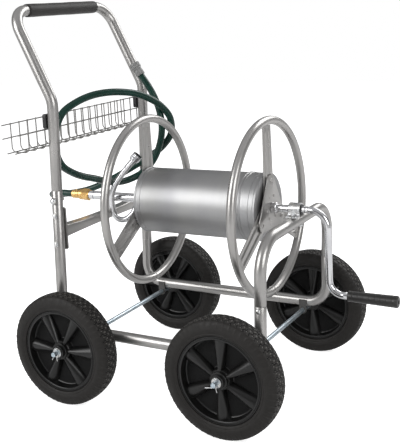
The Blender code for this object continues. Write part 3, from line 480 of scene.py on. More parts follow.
def hexagon(centre, axis, across, start, length, bore=0.0, steps=6, dish=0.0):
    """A nut's six-sided prism along an axis, its corners turned back by a chamfer at both ends."""
    corner = across / np.sqrt(3)
    cut = corner - across / 2
    profile = [(start, bore), (start, corner - cut * 0.9), (start + cut * 0.45, corner)]
    profile += [(start + length - cut * 0.45, corner), (start + length, corner - cut * 0.9)]
    profile += [(start + length - dish, bore)]
    return turned(profile, centre, axis, steps)


def frame_bolt_shell(place, side, radius, height, washer, inner):
    """Head outside, shank through the tube, nut and thread end inside."""
    outside = TUBE_RADIUS + GAP
    profile = [(inner - 0.003, 0), (inner - 0.003, BOLT_RADIUS * 0.8), (inner - 0.0022, BOLT_RADIUS)]
    profile += domed_head(outside, radius, height, washer)
    shank = turned(profile, place, (0, side, 0), 36, closed=False)
    nut_start, nut_length = inner - BOLT_HEAD + 0.0012, BOLT_HEAD - 0.0015
    nut = hexagon(place, (0, side, 0), 0.0092, nut_start, nut_length, BOLT_RADIUS * 0.9)
    return joined(shank, nut)


inner_face = -(TUBE_RADIUS + PLATE_THICKNESS + 2 * GAP)
for side_name, side in (("near", -1), ("far", 1)):
    bolts = [(f"handle_bolt_{side_name}", HANDLE_BOLT_Z, HANDLE_BOLT_RADIUS, HANDLE_BOLT_HEAD, 0.0)]
    for label, height in zip(("lower", "upper"), BEAM_BOLT_Z):
        bolts.append((f"beam_bolt_{side_name}_{label}", height, BOLT_HEAD_RADIUS * 0.86, BOLT_HEAD, 0.0011))
    for node, height, radius, head, washer in bolts:
        place = (rear_post_x(height), side * SIDE_Y, height)
        shell = frame_bolt_shell(place, side, radius, head, washer, inner_face)
        put(node + "_zinc", shell, zinc.material, "frame", node)
    place = (front_post_x(ARCH_BOLT_Z), side * SIDE_Y, ARCH_BOLT_Z)
    shell = turned(domed_head(TUBE_RADIUS - 0.001, 0.0052, 0.0046), place, (0, side, 0), 32, closed=False)
    put(f"arch_bolt_{side_name}", shell, zinc.material, "frame", ())


# Rear cross beam: a pressed steel channel between the rear posts, open side down, shallower in the middle.
# A flat plate is welded on each end for the bolts, and the reel's rear bearing sleeve stands on its top.
BEAM_WIDTH = 0.025
BEAM_WALL = 0.002
BEAM_TOP = (0.3820, 0.3885)
BEAM_DEPTH = (0.018, 0.027)
END_PLATE_Z = (0.331, 0.429)
BEARING_X = (-0.304, -0.283)
BEARING_WALL = 0.0045
SPINDLE_RADIUS = 0.0105
REEL_HEIGHT = 0.418


def rounded_outline(points, radii, steps=6):
    """A closed flat outline with each corner made an arc p(a) = c + r (cos a, sin a) of its own radius."""
    points = np.asarray(points, float)
    outline = []
    for k, (corner, radius) in enumerate(zip(points, np.broadcast_to(radii, len(points)))):
        back, ahead = unit(points[k - 1] - corner), unit(points[(k + 1) % len(points)] - corner)
        if radius == 0:
            outline.append(corner[None])
            continue
        half = np.arccos(np.clip(back @ ahead, -1, 1)) / 2
        centre = corner + unit(back + ahead) * radius / np.sin(half)
        first = unit(corner + back * radius / np.tan(half) - centre)
        last = unit(corner + ahead * radius / np.tan(half) - centre)
        across = unit(last - first * (last @ first))
        angle = np.linspace(0, np.pi - 2 * half, steps + 1)[:, None]
        outline.append(centre + radius * (np.cos(angle) * first + np.sin(angle) * across))
    return np.vstack(outline)


def extruded(outline, shift):
    """A flat outline's points, and the same moved by a shift, with sides between and a face at each end."""
    outline = np.asarray(outline, float)
    count = len(outline)
    sides = grid_faces(2, count, False, True).tolist()
    caps = [list(range(count)), list(range(2 * count - 1, count - 1, -1))]
    return np.vstack([outline, outline + np.asarray(shift, float)]), sides + caps


beam_middle = rear_post_x(BEAM_TOP[1])
reach = SIDE_Y - TUBE_RADIUS - GAP
half_width, wall = BEAM_WIDTH / 2, BEAM_WALL
beam_rows = []
for share in np.linspace(-1, 1, 61):
    top = BEAM_TOP[0] + (BEAM_TOP[1] - BEAM_TOP[0]) * share**2
    foot = top - BEAM_DEPTH[0] - (BEAM_DEPTH[1] - BEAM_DEPTH[0]) * share**2
    outline = [(-half_width, foot), (-half_width, top), (half_width, top), (half_width, foot)]
    outline += [(half_width - wall, foot), (half_width - wall, top - wall)]
    outline += [(wall - half_width, top - wall), (wall - half_width, foot)]
    section = rounded_outline(outline, (0.0006, 0.0034, 0.0034, 0.0006, 0.0006, 0.0014, 0.0014, 0.0006), 5)
    row_y = np.full(len(section), share * (reach - PLATE_THICKNESS / 2))
    beam_rows.append(np.column_stack([beam_middle + section[:, 0], row_y, section[:, 1]]))
beam_shells = [grid_shell(np.array(beam_rows))]
for side in (-1, 1):
    low, high = END_PLATE_Z
    corners = [(-TUBE_RADIUS, low), (TUBE_RADIUS, low), (TUBE_RADIUS, high), (-TUBE_RADIUS, high)]
    outline = rounded_outline(corners, 0.0045)
    plate = np.column_stack([beam_middle + outline[:, 0], np.full(len(outline), side * reach), outline[:, 1]])
    beam_shells.append(extruded(plate, (0, -side * PLATE_THICKNESS, 0)))
bore = SPINDLE_RADIUS + GAP
sleeve = bore + BEARING_WALL
length = BEARING_X[1] - BEARING_X[0]
sleeve_profile = [(0, bore), (0, sleeve - 0.0008), (0.0008, sleeve), (length - 0.0008, sleeve)]
sleeve_profile += [(length, sleeve - 0.0008), (length, bore)]
beam_shells.append(turned(sleeve_profile, (BEARING_X[0], 0, REEL_HEIGHT), (1, 0, 0), 56))
foot_half = sleeve * 0.72
foot_outline = [(-foot_half, BEAM_TOP[0] - 0.001), (foot_half, BEAM_TOP[0] - 0.001)]
foot_outline += [(foot_half, REEL_HEIGHT - 0.011), (-foot_half, REEL_HEIGHT - 0.011)]
foot_outline = rounded_outline(foot_outline, (0.0005, 0.0005, 0.0020, 0.0020), 4)
foot = np.column_stack([np.full(len(foot_outline), BEARING_X[0] + 0.0012), foot_outline])
beam_shells.append(extruded(foot, (length - 0.0024, 0, 0)))
put("rear_beam", joined(*beam_shells), frame_paint.material, "frame", "rear_cross_beam",
    bevel=0.0004)


# Axles: two plain steel rods, zinc plated, cross-drilled near their ends. Each passes through a plate
# welded to the rail's inner side, the wheel and a washer, and a split pin with one leg bent over keeps the
# wheel on.
WHEEL_RADIUS = 0.127
WHEEL_FACETS = 32
WHEELBASE = 0.392
WHEELS_MIDDLE_X = -0.068
TRACK = 0.504
HUB_LENGTH = 0.060
AXLE_RADIUS = 0.0055
AXLE_OVERHANG = 0.017
AXLE_PLATE = 0.003
AXLE_PLATE_WIDTH = 0.018
PIN_RADIUS = 0.0014
PIN_OFFSET = 0.0060
PIN_EYE = 0.0026


def even_curve(points, spacing):
    """Catmull-Rom cubic, q(t) = (2t^3-3t^2+1)b + (t^3-2t^2+t)m + ..., read at even distances."""
    knots = np.asarray(points, float)
    ends = np.vstack([2 * knots[0] - knots[1], knots, 2 * knots[-1] - knots[-2]])
    t = np.linspace(0, 1, 24, endpoint=False)[None, :, None]
    a, b, c, d = (ends[k : len(ends) - 3 + k, None, :] for k in range(4))
    slope, bend = (c - a) / 2, (d - b) / 2
    curve = (2 * b - 2 * c + slope + bend) * t**3 + (-3 * b + 3 * c - 2 * slope - bend) * t**2 + slope * t + b
    curve = np.vstack([curve.reshape(-1, 3), knots[-1:]])
    travel = np.concatenate([[0], np.cumsum(np.linalg.norm(np.diff(curve, axis=0), axis=1))])
    places = np.linspace(0, travel[-1], round(travel[-1] / spacing) + 1)
    return np.column_stack([np.interp(places, travel, curve[:, k]) for k in range(3)])


axle_z = WHEEL_RADIUS * np.cos(np.pi / WHEEL_FACETS)
dark_steel = Finish("dark_steel", (0.10, 0.098, 0.095), metallic=0.8, roughness=0.45)
dark_steel.roughness(dark_steel.noise(90), 0.38, 0.55)
blue_zinc = Finish("blue_zinc", (0.50, 0.57, 0.62), metallic=0.9, roughness=0.34)
blue_zinc.colours(blue_zinc.noise(50, 4), ((0.3, (0.42, 0.50, 0.55)), (0.5, (0.50, 0.57, 0.62)),
    (0.7, (0.58, 0.63, 0.66))))
blue_zinc.roughness(blue_zinc.noise(160, 3), 0.28, 0.44)
blue_zinc.bump(blue_zinc.noise(400, 2), 0.00004, 0.4)
hub_face = (TRACK + HUB_LENGTH) / 2
for end_name, end in (("rear", -1), ("front", 1)):
    x = WHEELS_MIDDLE_X + end * WHEELBASE / 2
    reach = hub_face + AXLE_OVERHANG
    rod = [(-reach, 0), (-reach, AXLE_RADIUS - 0.0012), (0.0012 - reach, AXLE_RADIUS),
        (reach - 0.0012, AXLE_RADIUS)]
    rod += [(reach, AXLE_RADIUS - 0.0012), (reach, 0)]
    shell = turned(rod, (x, 0, axle_z), (0, 1, 0), 40, closed=False)
    put(f"{end_name}_axle_rod", shell, blue_zinc.material, "frame", f"{end_name}_axle")
    for side_name, side in (("near", -1), ("far", 1)):
        label = f"{end_name}_{side_name}"
        half = AXLE_PLATE_WIDTH / 2
        turned_foot = np.linspace(np.pi, 2 * np.pi, 21)
        outline = [(half, RAIL_Z + TUBE_RADIUS / 2), (-half, RAIL_Z + TUBE_RADIUS / 2)]
        outline += [(half * np.cos(a), axle_z + half * np.sin(a)) for a in turned_foot]
        outline = np.array(outline)
        plate_y = side * (SIDE_Y - TUBE_RADIUS - GAP)
        plate = np.column_stack([x + outline[:, 0], np.full(len(outline), plate_y), outline[:, 1]])
        put(f"{label}_plate", extruded(plate, (0, -side * AXLE_PLATE, 0)), dark_steel.material, "frame",
            f"{label}_axle_plate", bevel=0.0005)
        washer = [(0.0006, AXLE_RADIUS), (0.0006, 0.0102), (0.0010, 0.0106), (0.0019, 0.0106),
            (0.0023, 0.0102)]
        washer += [(0.0023, AXLE_RADIUS)]
        shell = turned(washer, (x, side * hub_face, axle_z), (0, side, 0), 48)
        put(f"{label}_washer", shell, zinc.material, "frame", ())
        pin_y = side * (hub_face + PIN_OFFSET)
        eye_z = axle_z + AXLE_RADIUS + 0.0034
        turn_angle = np.radians(np.linspace(-65, 245, 23))
        eye = np.column_stack([
            x + PIN_EYE * np.cos(turn_angle), np.full(23, pin_y), eye_z + PIN_EYE * np.sin(turn_angle)])
        leg_end = axle_z - AXLE_RADIUS
        spread = 0.0220 if end > 0 else 0.0090
        down = [(x + 0.0006, pin_y, leg_end), (x + 0.0010, pin_y, leg_end - 0.0030),
                (x + 0.0035, pin_y + side * 0.0012, leg_end - 0.0115)]
        out = [(x - 0.0006, pin_y, leg_end), (x - 0.0016, pin_y, leg_end - 0.0014),
               (x - 0.0060, pin_y + side * 0.0014, leg_end - 0.0032),
               (x - spread, pin_y + side * 0.0024, leg_end - (0.0055 if end > 0 else 0.0098))]
        wire = even_curve(np.vstack([down[::-1], eye, out]), 0.0012)
        put(f"{label}_pin", tube(wire, PIN_RADIUS * 0.66, 12), zinc.material, "frame", f"{label}_split_pin")


# Tyres: solid black-brown rubber, moulded with a smooth sidewall and four rows of offset tread blocks.
# The block rows part along zigzag grooves, and short ribs run from the outer rows over the shoulder.
TYRE_HALF = 0.0278
TREAD_HALF = 0.0195
TREAD_PITCHES = 56
TREAD_DEPTH = 0.0018
GROOVE_HALF = 0.0009
STEPS_PER_PITCH = 12
TREAD_COLUMNS = 53
ROW_WIDTH = 0.0098

rubber = Finish("tyre_rubber", (0.017, 0.0145, 0.013), roughness=0.55)
# Colour from the per-point value: near black in the deep groove bottoms, a painted shade; light grey along
# the block edges and the shoulder ribs, partly dust and partly a painted highlight.
painted_light_and_dust = rubber.node("ShaderNodeAttribute", attribute_name="shading_and_dust").outputs["Fac"]
cloud = rubber.arithmetic("MULTIPLY", rubber.noise(34, 5), 0.2)
rubber.colours(rubber.arithmetic("ADD", cloud, rubber.arithmetic("MULTIPLY", painted_light_and_dust, 0.9)), (
    (0.12, (0.0015, 0.0014, 0.0013)), (0.36, (0.0100, 0.0088, 0.0078)), (0.55, (0.0150, 0.0135, 0.0120)),
    (1.00, (0.150, 0.143, 0.134))))
rubber.roughness(rubber.noise(120, 4), 0.46, 0.66)
rubber.bump(rubber.noise(900, 3), 0.00008, 0.4)
rubber.shader.inputs["Specular IOR Level"].default_value = 0.28


def ramp_down(distance, half, soft=0.0007):
    """1 inside a groove of that half width, 0 outside, with walls as wide as soft: 3 t^2 - 2 t^3."""
    t = np.clip((half + soft - np.abs(distance)) / soft, 0, 1)
    return t * t * (3 - 2 * t)


def tyre_surface():
    """r(a, y) = crown(y) - depth(a, y) over the tread, and a turned sidewall profile on both sides of it."""
    turns = TREAD_PITCHES * STEPS_PER_PITCH
    angle = np.linspace(0, 2 * np.pi, turns, endpoint=False)[:, None]
    pitch = angle / (2 * np.pi) * TREAD_PITCHES
    y = np.linspace(-TREAD_HALF, TREAD_HALF, TREAD_COLUMNS)[None, :]
    crown = axle_z - 0.0020 * (y / TREAD_HALF) ** 2
    zigzag = 0.0011 * (2 * np.abs(2 * ((pitch * 2) % 1) - 1) - 1)
    depth = np.zeros((turns, TREAD_COLUMNS))
    for groove_y in (-ROW_WIDTH, 0.0, ROW_WIDTH):
        depth = np.maximum(depth, ramp_down(y - groove_y - zigzag, GROOVE_HALF * 0.8))
    row = np.floor((y + 2 * ROW_WIDTH) / ROW_WIDTH)
    slant = np.where(row % 2 == 0, 1, -1) * y / ROW_WIDTH * 0.10
    phase = (pitch + 0.5 * (row % 2) + slant + 0.5) % 1 - 0.5
    pitch_length = 2 * np.pi * axle_z / TREAD_PITCHES
    depth = np.maximum(depth, ramp_down(phase * pitch_length, GROOVE_HALF))
    sipe = (phase + 1) % 1 - 0.5
    within = (np.abs((y + 2 * ROW_WIDTH) % ROW_WIDTH - ROW_WIDTH / 2) < 0.0028) * 0.45
    depth = np.maximum(depth, ramp_down(sipe * pitch_length, 0.0001, 0.0009) * within)
    tread = crown - TREAD_DEPTH * depth
    walls = np.array([
        (0.0212, -0.0031), (0.0228, -0.0048), (0.0242, -0.0074), (0.0256, -0.0108), (0.0266, -0.0148),
        (TYRE_HALF, -0.0190), (TYRE_HALF, -0.0215), (0.0272, -0.0240), (0.0262, -0.0270), (0.0258, -0.0278),
        (0.0262, -0.0286), (0.0256, -0.0312), (0.0238, -0.0332), (0.0222, -0.0336),
    ])
    rib = ramp_down(((pitch + 0.25) % 1 - 0.5) * pitch_length, 0.0014, 0.0010)
    fade = np.array([0.9, 1.0, 1.0, 0.8, 0.4, 0, 0, 0, 0, 0, 0, 0, 0, 0])[None, :]
    wall_y = walls[:, 0][None, :] + 0.0004 * rib * fade
    wall_r = axle_z + walls[:, 1][None, :] + 0.0004 * rib * fade
    across = np.hstack([-wall_y[:, ::-1], np.broadcast_to(y, (turns, TREAD_COLUMNS)), wall_y])
    radius = np.hstack([wall_r[:, ::-1], tread, wall_r])
    # Painted highlight, partly dust, on the upper groove walls at the block edges; the deep groove bottoms
    # get 0, a painted shade.
    at_edge = np.exp(-(((depth - 0.15) / 0.20) ** 2)) * (depth > 0.004)
    tread_shading_and_dust = np.where(depth > 0.6, 0.0, 0.45 + 0.55 * at_edge)
    # The raised shoulder ribs are painted a little lighter: partly dust, partly a painted highlight.
    rib_highlight_and_dust = 0.32 + 0.10 * rib * fade
    shading_and_dust = np.hstack([rib_highlight_and_dust[:, ::-1], tread_shading_and_dust, rib_highlight_and_dust])
    return angle, across, radius, shading_and_dust


tyre_angle, tyre_across, tyre_radius, tyre_shading_and_dust = tyre_surface()
tyre_x, tyre_z = tyre_radius * np.sin(tyre_angle), tyre_radius * np.cos(tyre_angle)
tyre_points = np.stack([tyre_x, tyre_across, tyre_z], axis=2)
wheel_places = {}
for end_name, end in (("rear", -1), ("front", 1)):
    for side_name, side in (("near", -1), ("far", 1)):
        label = f"{end_name}_{side_name}"
        wheel_places[label] = np.array([WHEELS_MIDDLE_X + end * WHEELBASE / 2, side * TRACK / 2, axle_z])
        points, faces = grid_shell(tyre_points, wrap_rows=True)
        put(f"{label}_tyre_rubber", (points + wheel_places[label], faces), rubber.material, f"{label}_wheel",
            f"{label}_tyre", sharp=32, shading_and_dust=tyre_shading_and_dust)


# Wheel rims: one black polypropylene moulding each, with a lipped bead flange, a closed web, six rounded
# blades that widen from the long stepped hub to the rim well, and a plain bore that turns on the axle.
RIM_BEAD = 0.0922
RIM_HALF = 0.0222
HUB_RADIUS = 0.019
BLADES = 6
WEB_FLOOR = 0.0012
REAR_BLADE_TURN = np.radians(28)

rim_plastic = Finish("rim_plastic", (0.0045, 0.0045, 0.0045), roughness=0.34)
# The per-point value is 0 on the recessed web between the blades and 1 on the blades, flange and hub: the web
# is painted near black, a painted shade, and made rough.
raised = rim_plastic.node("ShaderNodeAttribute", attribute_name="shading_and_dust").outputs["Fac"]
rim_tone = rim_plastic.arithmetic("MULTIPLY", raised, rim_plastic.noise(24, 4))
rim_plastic.colours(rim_tone, ((0.0, (0.0006, 0.0006, 0.0006)), (0.35, (0.0040, 0.0040, 0.0039)),
    (0.7, (0.0070, 0.0068, 0.0066))))
rim_plastic.shader.inputs["Specular IOR Level"].default_value = 0.42
rim_plastic.roughness(rim_plastic.arithmetic("SUBTRACT", 1.0, raised), 0.30, 0.95)
rim_plastic.bump(rim_plastic.noise(1300, 2), 0.00003, 0.4)
half_profile = [
    (0.0205, RIM_BEAD), (RIM_HALF - 0.0005, RIM_BEAD - 0.0001), (RIM_HALF, RIM_BEAD - 0.0007),
    (RIM_HALF, 0.0903),
    (RIM_HALF - 0.0012, 0.0899), (RIM_HALF - 0.0012, 0.0890), (RIM_HALF, 0.0886), (RIM_HALF, 0.0858),
    (RIM_HALF - 0.0006, 0.0850), (0.0190, 0.0845), (0.0110, 0.0838), (0.0055, 0.0822), (0.0034, 0.0790),
    (0.0027, 0.0740), (0.0026, 0.0270), (0.0038, 0.0245), (0.0085, 0.0228), (0.0150, 0.0215),
    (0.0158, 0.0208),
    (0.0160, HUB_RADIUS), (0.0228, HUB_RADIUS - 0.0002), (0.0236, HUB_RADIUS - 0.0010), (0.0238, 0.0150),
    (0.0292, 0.0147), (0.0300, 0.0139), (0.0300, AXLE_RADIUS + 0.0004),
]
rim_profile = [(-h, r) for h, r in half_profile[::-1]] + half_profile
rim_shells = [turned(rim_profile, (0, 0, 0), (0, 1, 0), 96)]
blade_share = np.linspace(0, 1, 9)
for side in (-1, 1):
    for blade in range(BLADES):
        radius = 0.0165 + (0.0842 - 0.0165) * blade_share
        wide = 0.0062 + 0.0108 * blade_share**0.9
        crest = 0.0200 - 0.0035 * blade_share
        columns = []
        for across in np.sin(np.linspace(-np.pi / 2, np.pi / 2, 13)):
            height = WEB_FLOOR + (crest - WEB_FLOOR) * np.sqrt(1 - across**2) * (1 + 0.10 * across)
            columns.append(np.stack([across * wide, side * height, radius], axis=1))
        rows = np.stack(columns, axis=1)
        ends = rows[[0, -1]].mean(axis=1, keepdims=True) + 0 * rows[[0, -1]]
        rows = np.concatenate([ends[:1], rows, ends[1:]])
        angle = 2 * np.pi * blade / BLADES
        x = rows[..., 0] * np.cos(angle) + rows[..., 2] * np.sin(angle)
        z = rows[..., 2] * np.cos(angle) - rows[..., 0] * np.sin(angle)
        rim_shells.append(grid_shell(np.stack([x, rows[..., 1], z], axis=2)))
rim_points, rim_faces = joined(*rim_shells)
# Mask for the painted shade: 0 on the recessed web between the blades, 1 on the blades, flange and hub.
from_axle = np.hypot(rim_points[:, 0], rim_points[:, 2])
rim_raised = 1.0 - (np.abs(rim_points[:, 1]) < 0.0050) * (from_axle > 0.0250) * (from_axle < 0.0800)
for label, place in wheel_places.items():
    angle = REAR_BLADE_TURN if label.startswith("rear") else 0.0
    spun = rim_points @ np.array(Matrix.Rotation(angle, 3, "Y")).T
    put(f"{label}_rim_moulding", (spun + place, rim_faces), rim_plastic.material, f"{label}_wheel",
        f"{label}_rim", sharp=30, shading_and_dust=rim_raised)


# Reel rings: thin-walled steel tube rolled into a hoop, its ends butted and tacked, one at each end of the
# drum. They are sprayed the same silver as the frame and keep the hose on the drum.
REEL_X = -0.0235
RING_SPACING = 0.305
RING_RADIUS = 0.190
RING_TUBE_RADIUS = 0.0095
RING_STEPS = 144
WELD_STEPS = 48
rear_x, front_x = REEL_X - RING_SPACING / 2, REEL_X + RING_SPACING / 2
reel_paint = sprayed_silver("reel_paint", (0.405, 0.396, 0.385), 0.29)
for end_name, x in (("rear", rear_x), ("front", front_x)):
    angle = np.linspace(0, 2 * np.pi, RING_STEPS, endpoint=False)
    hoop_z = REEL_HEIGHT + RING_RADIUS * np.cos(angle)
    hoop = np.column_stack([np.full(RING_STEPS, x), RING_RADIUS * np.sin(angle), hoop_z])
    weld_angle = np.linspace(0, 2 * np.pi, WELD_STEPS, endpoint=False)
    lumps = 0.0007 + 0.0003 * np.sin(9 * weld_angle)
    weld_ring = np.column_stack([
        x + RING_TUBE_RADIUS * np.cos(weld_angle), np.zeros(WELD_STEPS),
        REEL_HEIGHT - RING_RADIUS + RING_TUBE_RADIUS * np.sin(weld_angle)])
    ring_shell = joined(tube(hoop, RING_TUBE_RADIUS, 28, closed=True), tube(weld_ring, lumps, 8, closed=True))
    put(f"{end_name}_hoop", ring_shell, reel_paint.material, "reel", f"{end_name}_ring")


# Spokes: three flat steel strips at each end, pressed with two long ribs that fade out near both ends, spot
# welded to the ring and clamped to the drum's end by the hub plate.
SPOKE_ROOT = 0.030
SPOKE_WIDTHS = (0.052, 0.042)
SPOKE_THICKNESS = 0.002
SPOKE_RIB = 0.0025
spoke_tip = RING_RADIUS - RING_TUBE_RADIUS - 0.0006


def spoke_shell(x, outward, turn_angle):
    """Strip p(s, u) from root to tip, raised by rib (3n^2 - 2n^3) over each rib; the tip follows the ring."""
    share = np.linspace(0, 1, 37)
    across = np.linspace(-1, 1, 45)
    half = (SPOKE_WIDTHS[0] + (SPOKE_WIDTHS[1] - SPOKE_WIDTHS[0]) * share)[:, None] / 2
    ribs = np.zeros((len(share), len(across)))
    ends = np.clip(np.minimum(share - 0.02, 0.97 - share) / 0.05, 0, 1)[:, None]
    ends = ends * ends * (3 - 2 * ends)
    for middle in (-0.42, 0.42):
        near = np.clip(1 - np.abs(across - middle) / 0.20, 0, 1)[None, :]
        ribs = np.maximum(ribs, near * near * (3 - 2 * near) * ends)
    edge = np.clip(1 - (1 - np.abs(across)) / 0.05, 0, 1)[None, :] ** 2 * 0.0006
    width = across[None, :] * half
    tip = np.sqrt(spoke_tip**2 - width**2)
    height = SPOKE_ROOT + (tip - SPOKE_ROOT) * share[:, None]
    front = SPOKE_THICKNESS / 2 + SPOKE_RIB * ribs - edge
    back = -SPOKE_THICKNESS / 2 + SPOKE_RIB * ribs + edge
    width2 = np.hstack([width, width[:, ::-1]])
    height2 = np.hstack([height, height[:, ::-1]])
    level = np.hstack([front, back[:, ::-1]])
    y = width2 * np.cos(turn_angle) - height2 * np.sin(turn_angle)
    z = width2 * np.sin(turn_angle) + height2 * np.cos(turn_angle)
    rows = np.stack([x + outward * level, y, REEL_HEIGHT + z], axis=2)
    ends = []
    for row in (rows[0], rows[-1]):
        folded = (row + row[::-1]) / 2
        ends.append(folded[None])
    return grid_shell(np.concatenate([ends[0], rows, ends[1]]))


for end_name, x, outward in (("rear", rear_x, -1), ("front", front_x, 1)):
    for number in range(3):
        shell = spoke_shell(x, outward, 2 * np.pi * number / 3)
        put(f"{end_name}_spoke_strip_{number + 1}", shell, reel_paint.material, "reel",
            f"{end_name}_spoke_{number + 1}", sharp=38)


# Hub plates: a thick pressed triangle with clipped corners outside each set of spokes. Button-head rivets
# at its corners and a second ring of three near the shaft pull spokes, plate and drum end together.
HUB_PLATE_THICKNESS = 0.003
HUB_PLATE_RADIUS = 0.072
HUB_PLATE_EDGE = 0.046
HUB_PLATE_STEPS = 120
CORNER_SHARPNESS = 900
RIVETS = ((0.0600, 0, 0.0050), (0.0270, 0.42, 0.0034), (0.0270, -0.42, 0.0034))
SHAFT_RADIUS = 0.008


def rivet(place, axis, radius, height):
    """A rivet's domed head standing on a face."""
    angle = np.linspace(0, np.pi / 2, 7)
    profile = [(-0.0006, 0), (-0.0006, radius)] + list(zip(height * np.sin(angle), radius * np.cos(angle)))
    return turned(profile, place, axis, 24, closed=False)


for end_name, x, outward, bore in (("rear", rear_x, -1, SPINDLE_RADIUS), ("front", front_x, 1, SHAFT_RADIUS)):
    angle = np.linspace(0, 2 * np.pi, HUB_PLATE_STEPS, endpoint=False)
    straight = HUB_PLATE_EDGE / np.cos(angle % (2 * np.pi / 3) - np.pi / 3)
    reach = np.exp(-straight * CORNER_SHARPNESS) + np.exp(-HUB_PLATE_RADIUS * CORNER_SHARPNESS)
    radius = -np.log(reach) / CORNER_SHARPNESS
    inner = x + outward * (SPOKE_THICKNESS / 2 + SPOKE_RIB + GAP)
    levels = ((0, bore + GAP), (0, None), (0.0022, None), (0.0028, None), (0.0030, None),
        (0.0030, bore + GAP))
    shrink = (0, 0, 0, 0.0003, 0.0009, 0)
    rows = []
    for (level, fixed), less in zip(levels, shrink):
        r = np.full(HUB_PLATE_STEPS, fixed) if fixed else radius - less
        row_x = np.full(HUB_PLATE_STEPS, inner + outward * level)
        rows.append(np.column_stack([row_x, -r * np.sin(angle), REEL_HEIGHT + r * np.cos(angle)]))
    shells = [grid_shell(np.array(rows), wrap_rows=True)]
    outer_x = inner + outward * HUB_PLATE_THICKNESS
    for number in range(3):
        spoke_angle = 2 * np.pi * number / 3
        for distance, turn_by, size in RIVETS:
            a = spoke_angle + turn_by
            place = (outer_x, -distance * np.sin(a), REEL_HEIGHT + distance * np.cos(a))
            shells.append(rivet(place, (outward, 0, 0), size, size * 0.55))
    put(f"{end_name}_clamp_plate", joined(*shells), reel_paint.material, "reel", f"{end_name}_hub_plate",
        sharp=35)


# Drum: a rolled and seamed tube of bright galvanised sheet between two deep-drawn end pans, whose skirts
# slip over it. A pair of beads near the front stiffens it. It is left unpainted, with the satin of the
# rolled sheet.
DRUM_RADIUS = 0.075
DRUM_WALL = 0.0012
DRUM_SKIRT = 0.016
DRUM_BEAD_INSET = 0.040

drum_sheet = Finish("drum_sheet", (0.35, 0.35, 0.352), metallic=1.0, roughness=0.44)
brushed = drum_sheet.noise(1.0, 4, 0.6, drum_sheet.stretched((500, 5, 5)))
broad = drum_sheet.noise(1.0, 3, 0.5, drum_sheet.stretched((14, 5, 5)))
drum_sheet.colours(broad, ((0.35, (0.32, 0.322, 0.330)), (0.55, (0.35, 0.35, 0.352)),
    (0.72, (0.38, 0.378, 0.372))))
drum_sheet.roughness(brushed, 0.42, 0.47)
face = SPOKE_THICKNESS / 2 + GAP
drum_low, drum_high = rear_x + face, front_x - face
bore = SPINDLE_RADIUS + GAP
lip = DRUM_RADIUS + 0.0012
for end_name, start, outward in (("rear", drum_low, 1), ("front", drum_high, -1)):
    pan = [(0, bore), (0, 0.030), (0.0010, 0.033), (0.0010, 0.058), (0, 0.062), (0, DRUM_RADIUS - 0.0020)]
    pan += [(0.0003, lip - 0.0009), (0.0010, lip), (0.0046, lip), (0.0054, lip - 0.0004),
        (0.0060, DRUM_RADIUS + 0.0003)]
    pan += [(DRUM_SKIRT - 0.0004, DRUM_RADIUS + 0.0003), (DRUM_SKIRT, DRUM_RADIUS - 0.0002)]
    pan += [(DRUM_SKIRT, DRUM_RADIUS - 0.0010), (0.0025, DRUM_RADIUS - 0.0016), (0.0025, bore)]
    shells = [turned(pan, (start, 0, REEL_HEIGHT), (outward, 0, 0), 128)]
    for a in np.radians((20, 140, 260)):
        outward_r = np.array((0, -np.sin(a), np.cos(a)))
        place = np.array((start + outward * 0.0110, 0, REEL_HEIGHT)) + outward_r * (DRUM_RADIUS + 0.0002)
        shells.append(rivet(place, outward_r, 0.0026, 0.0011))
    put(f"drum_pan_{end_name}", joined(*shells), drum_sheet.material, "reel", f"drum_end_{end_name}",
        sharp=30)
length = drum_high - drum_low - 2 * (DRUM_SKIRT + GAP)
bead = length - DRUM_BEAD_INSET + DRUM_SKIRT
rise = np.linspace(0, np.pi, 9)
shell_profile = [(0, DRUM_RADIUS - 0.0003), (0.0005, DRUM_RADIUS)]
for middle in (bead - 0.0035, bead + 0.0035):
    shell_profile += list(zip(middle - 0.0028 * np.cos(rise), DRUM_RADIUS + 0.0014 * np.sin(rise) ** 2))
shell_profile += [(length - 0.0005, DRUM_RADIUS), (length, DRUM_RADIUS - 0.0003)]
shell_profile += [(length, DRUM_RADIUS - DRUM_WALL), (0, DRUM_RADIUS - DRUM_WALL)]
start = (drum_low + DRUM_SKIRT + GAP, 0, REEL_HEIGHT)
put("drum_skin", turned(shell_profile, start, (1, 0, 0), 128), drum_sheet.material, "reel", "drum_shell",
    sharp=30)


# Reel shafts: a chromed solid shaft with a welded collar in front, turning in the saddle's bush, and a
# chromed hollow spindle behind that brings the water in through the rear bearing.
CRANK_START_X = 0.212
COLLAR_RADIUS = 0.012
COLLAR_LENGTH = 0.012
SPINDLE_BORE = 0.0080
SPINDLE_END_X = -0.3065

chrome = Finish("chrome_plate", (0.50, 0.505, 0.515), metallic=1.0, roughness=0.13)
chrome.roughness(chrome.noise(70, 4), 0.07, 0.18)
chrome.colours(chrome.noise(18, 3), ((0.35, (0.58, 0.585, 0.60)), (0.65, (0.72, 0.72, 0.73))))
chrome.bump(chrome.noise(260, 2), 0.00002, 0.3)
start = front_x + SPOKE_THICKNESS / 2 + SPOKE_RIB + HUB_PLATE_THICKNESS + 2 * GAP
length = CRANK_START_X - GAP - start
shaft = [(0, 0), (0, COLLAR_RADIUS - 0.0008), (0.0008, COLLAR_RADIUS),
    (COLLAR_LENGTH - 0.0008, COLLAR_RADIUS)]
shaft += [(COLLAR_LENGTH, COLLAR_RADIUS - 0.0008), (COLLAR_LENGTH, SHAFT_RADIUS), (0.0260, SHAFT_RADIUS)]
shaft += [(0.0263, SHAFT_RADIUS - 0.0008), (0.0280, SHAFT_RADIUS - 0.0008), (0.0283, SHAFT_RADIUS)]
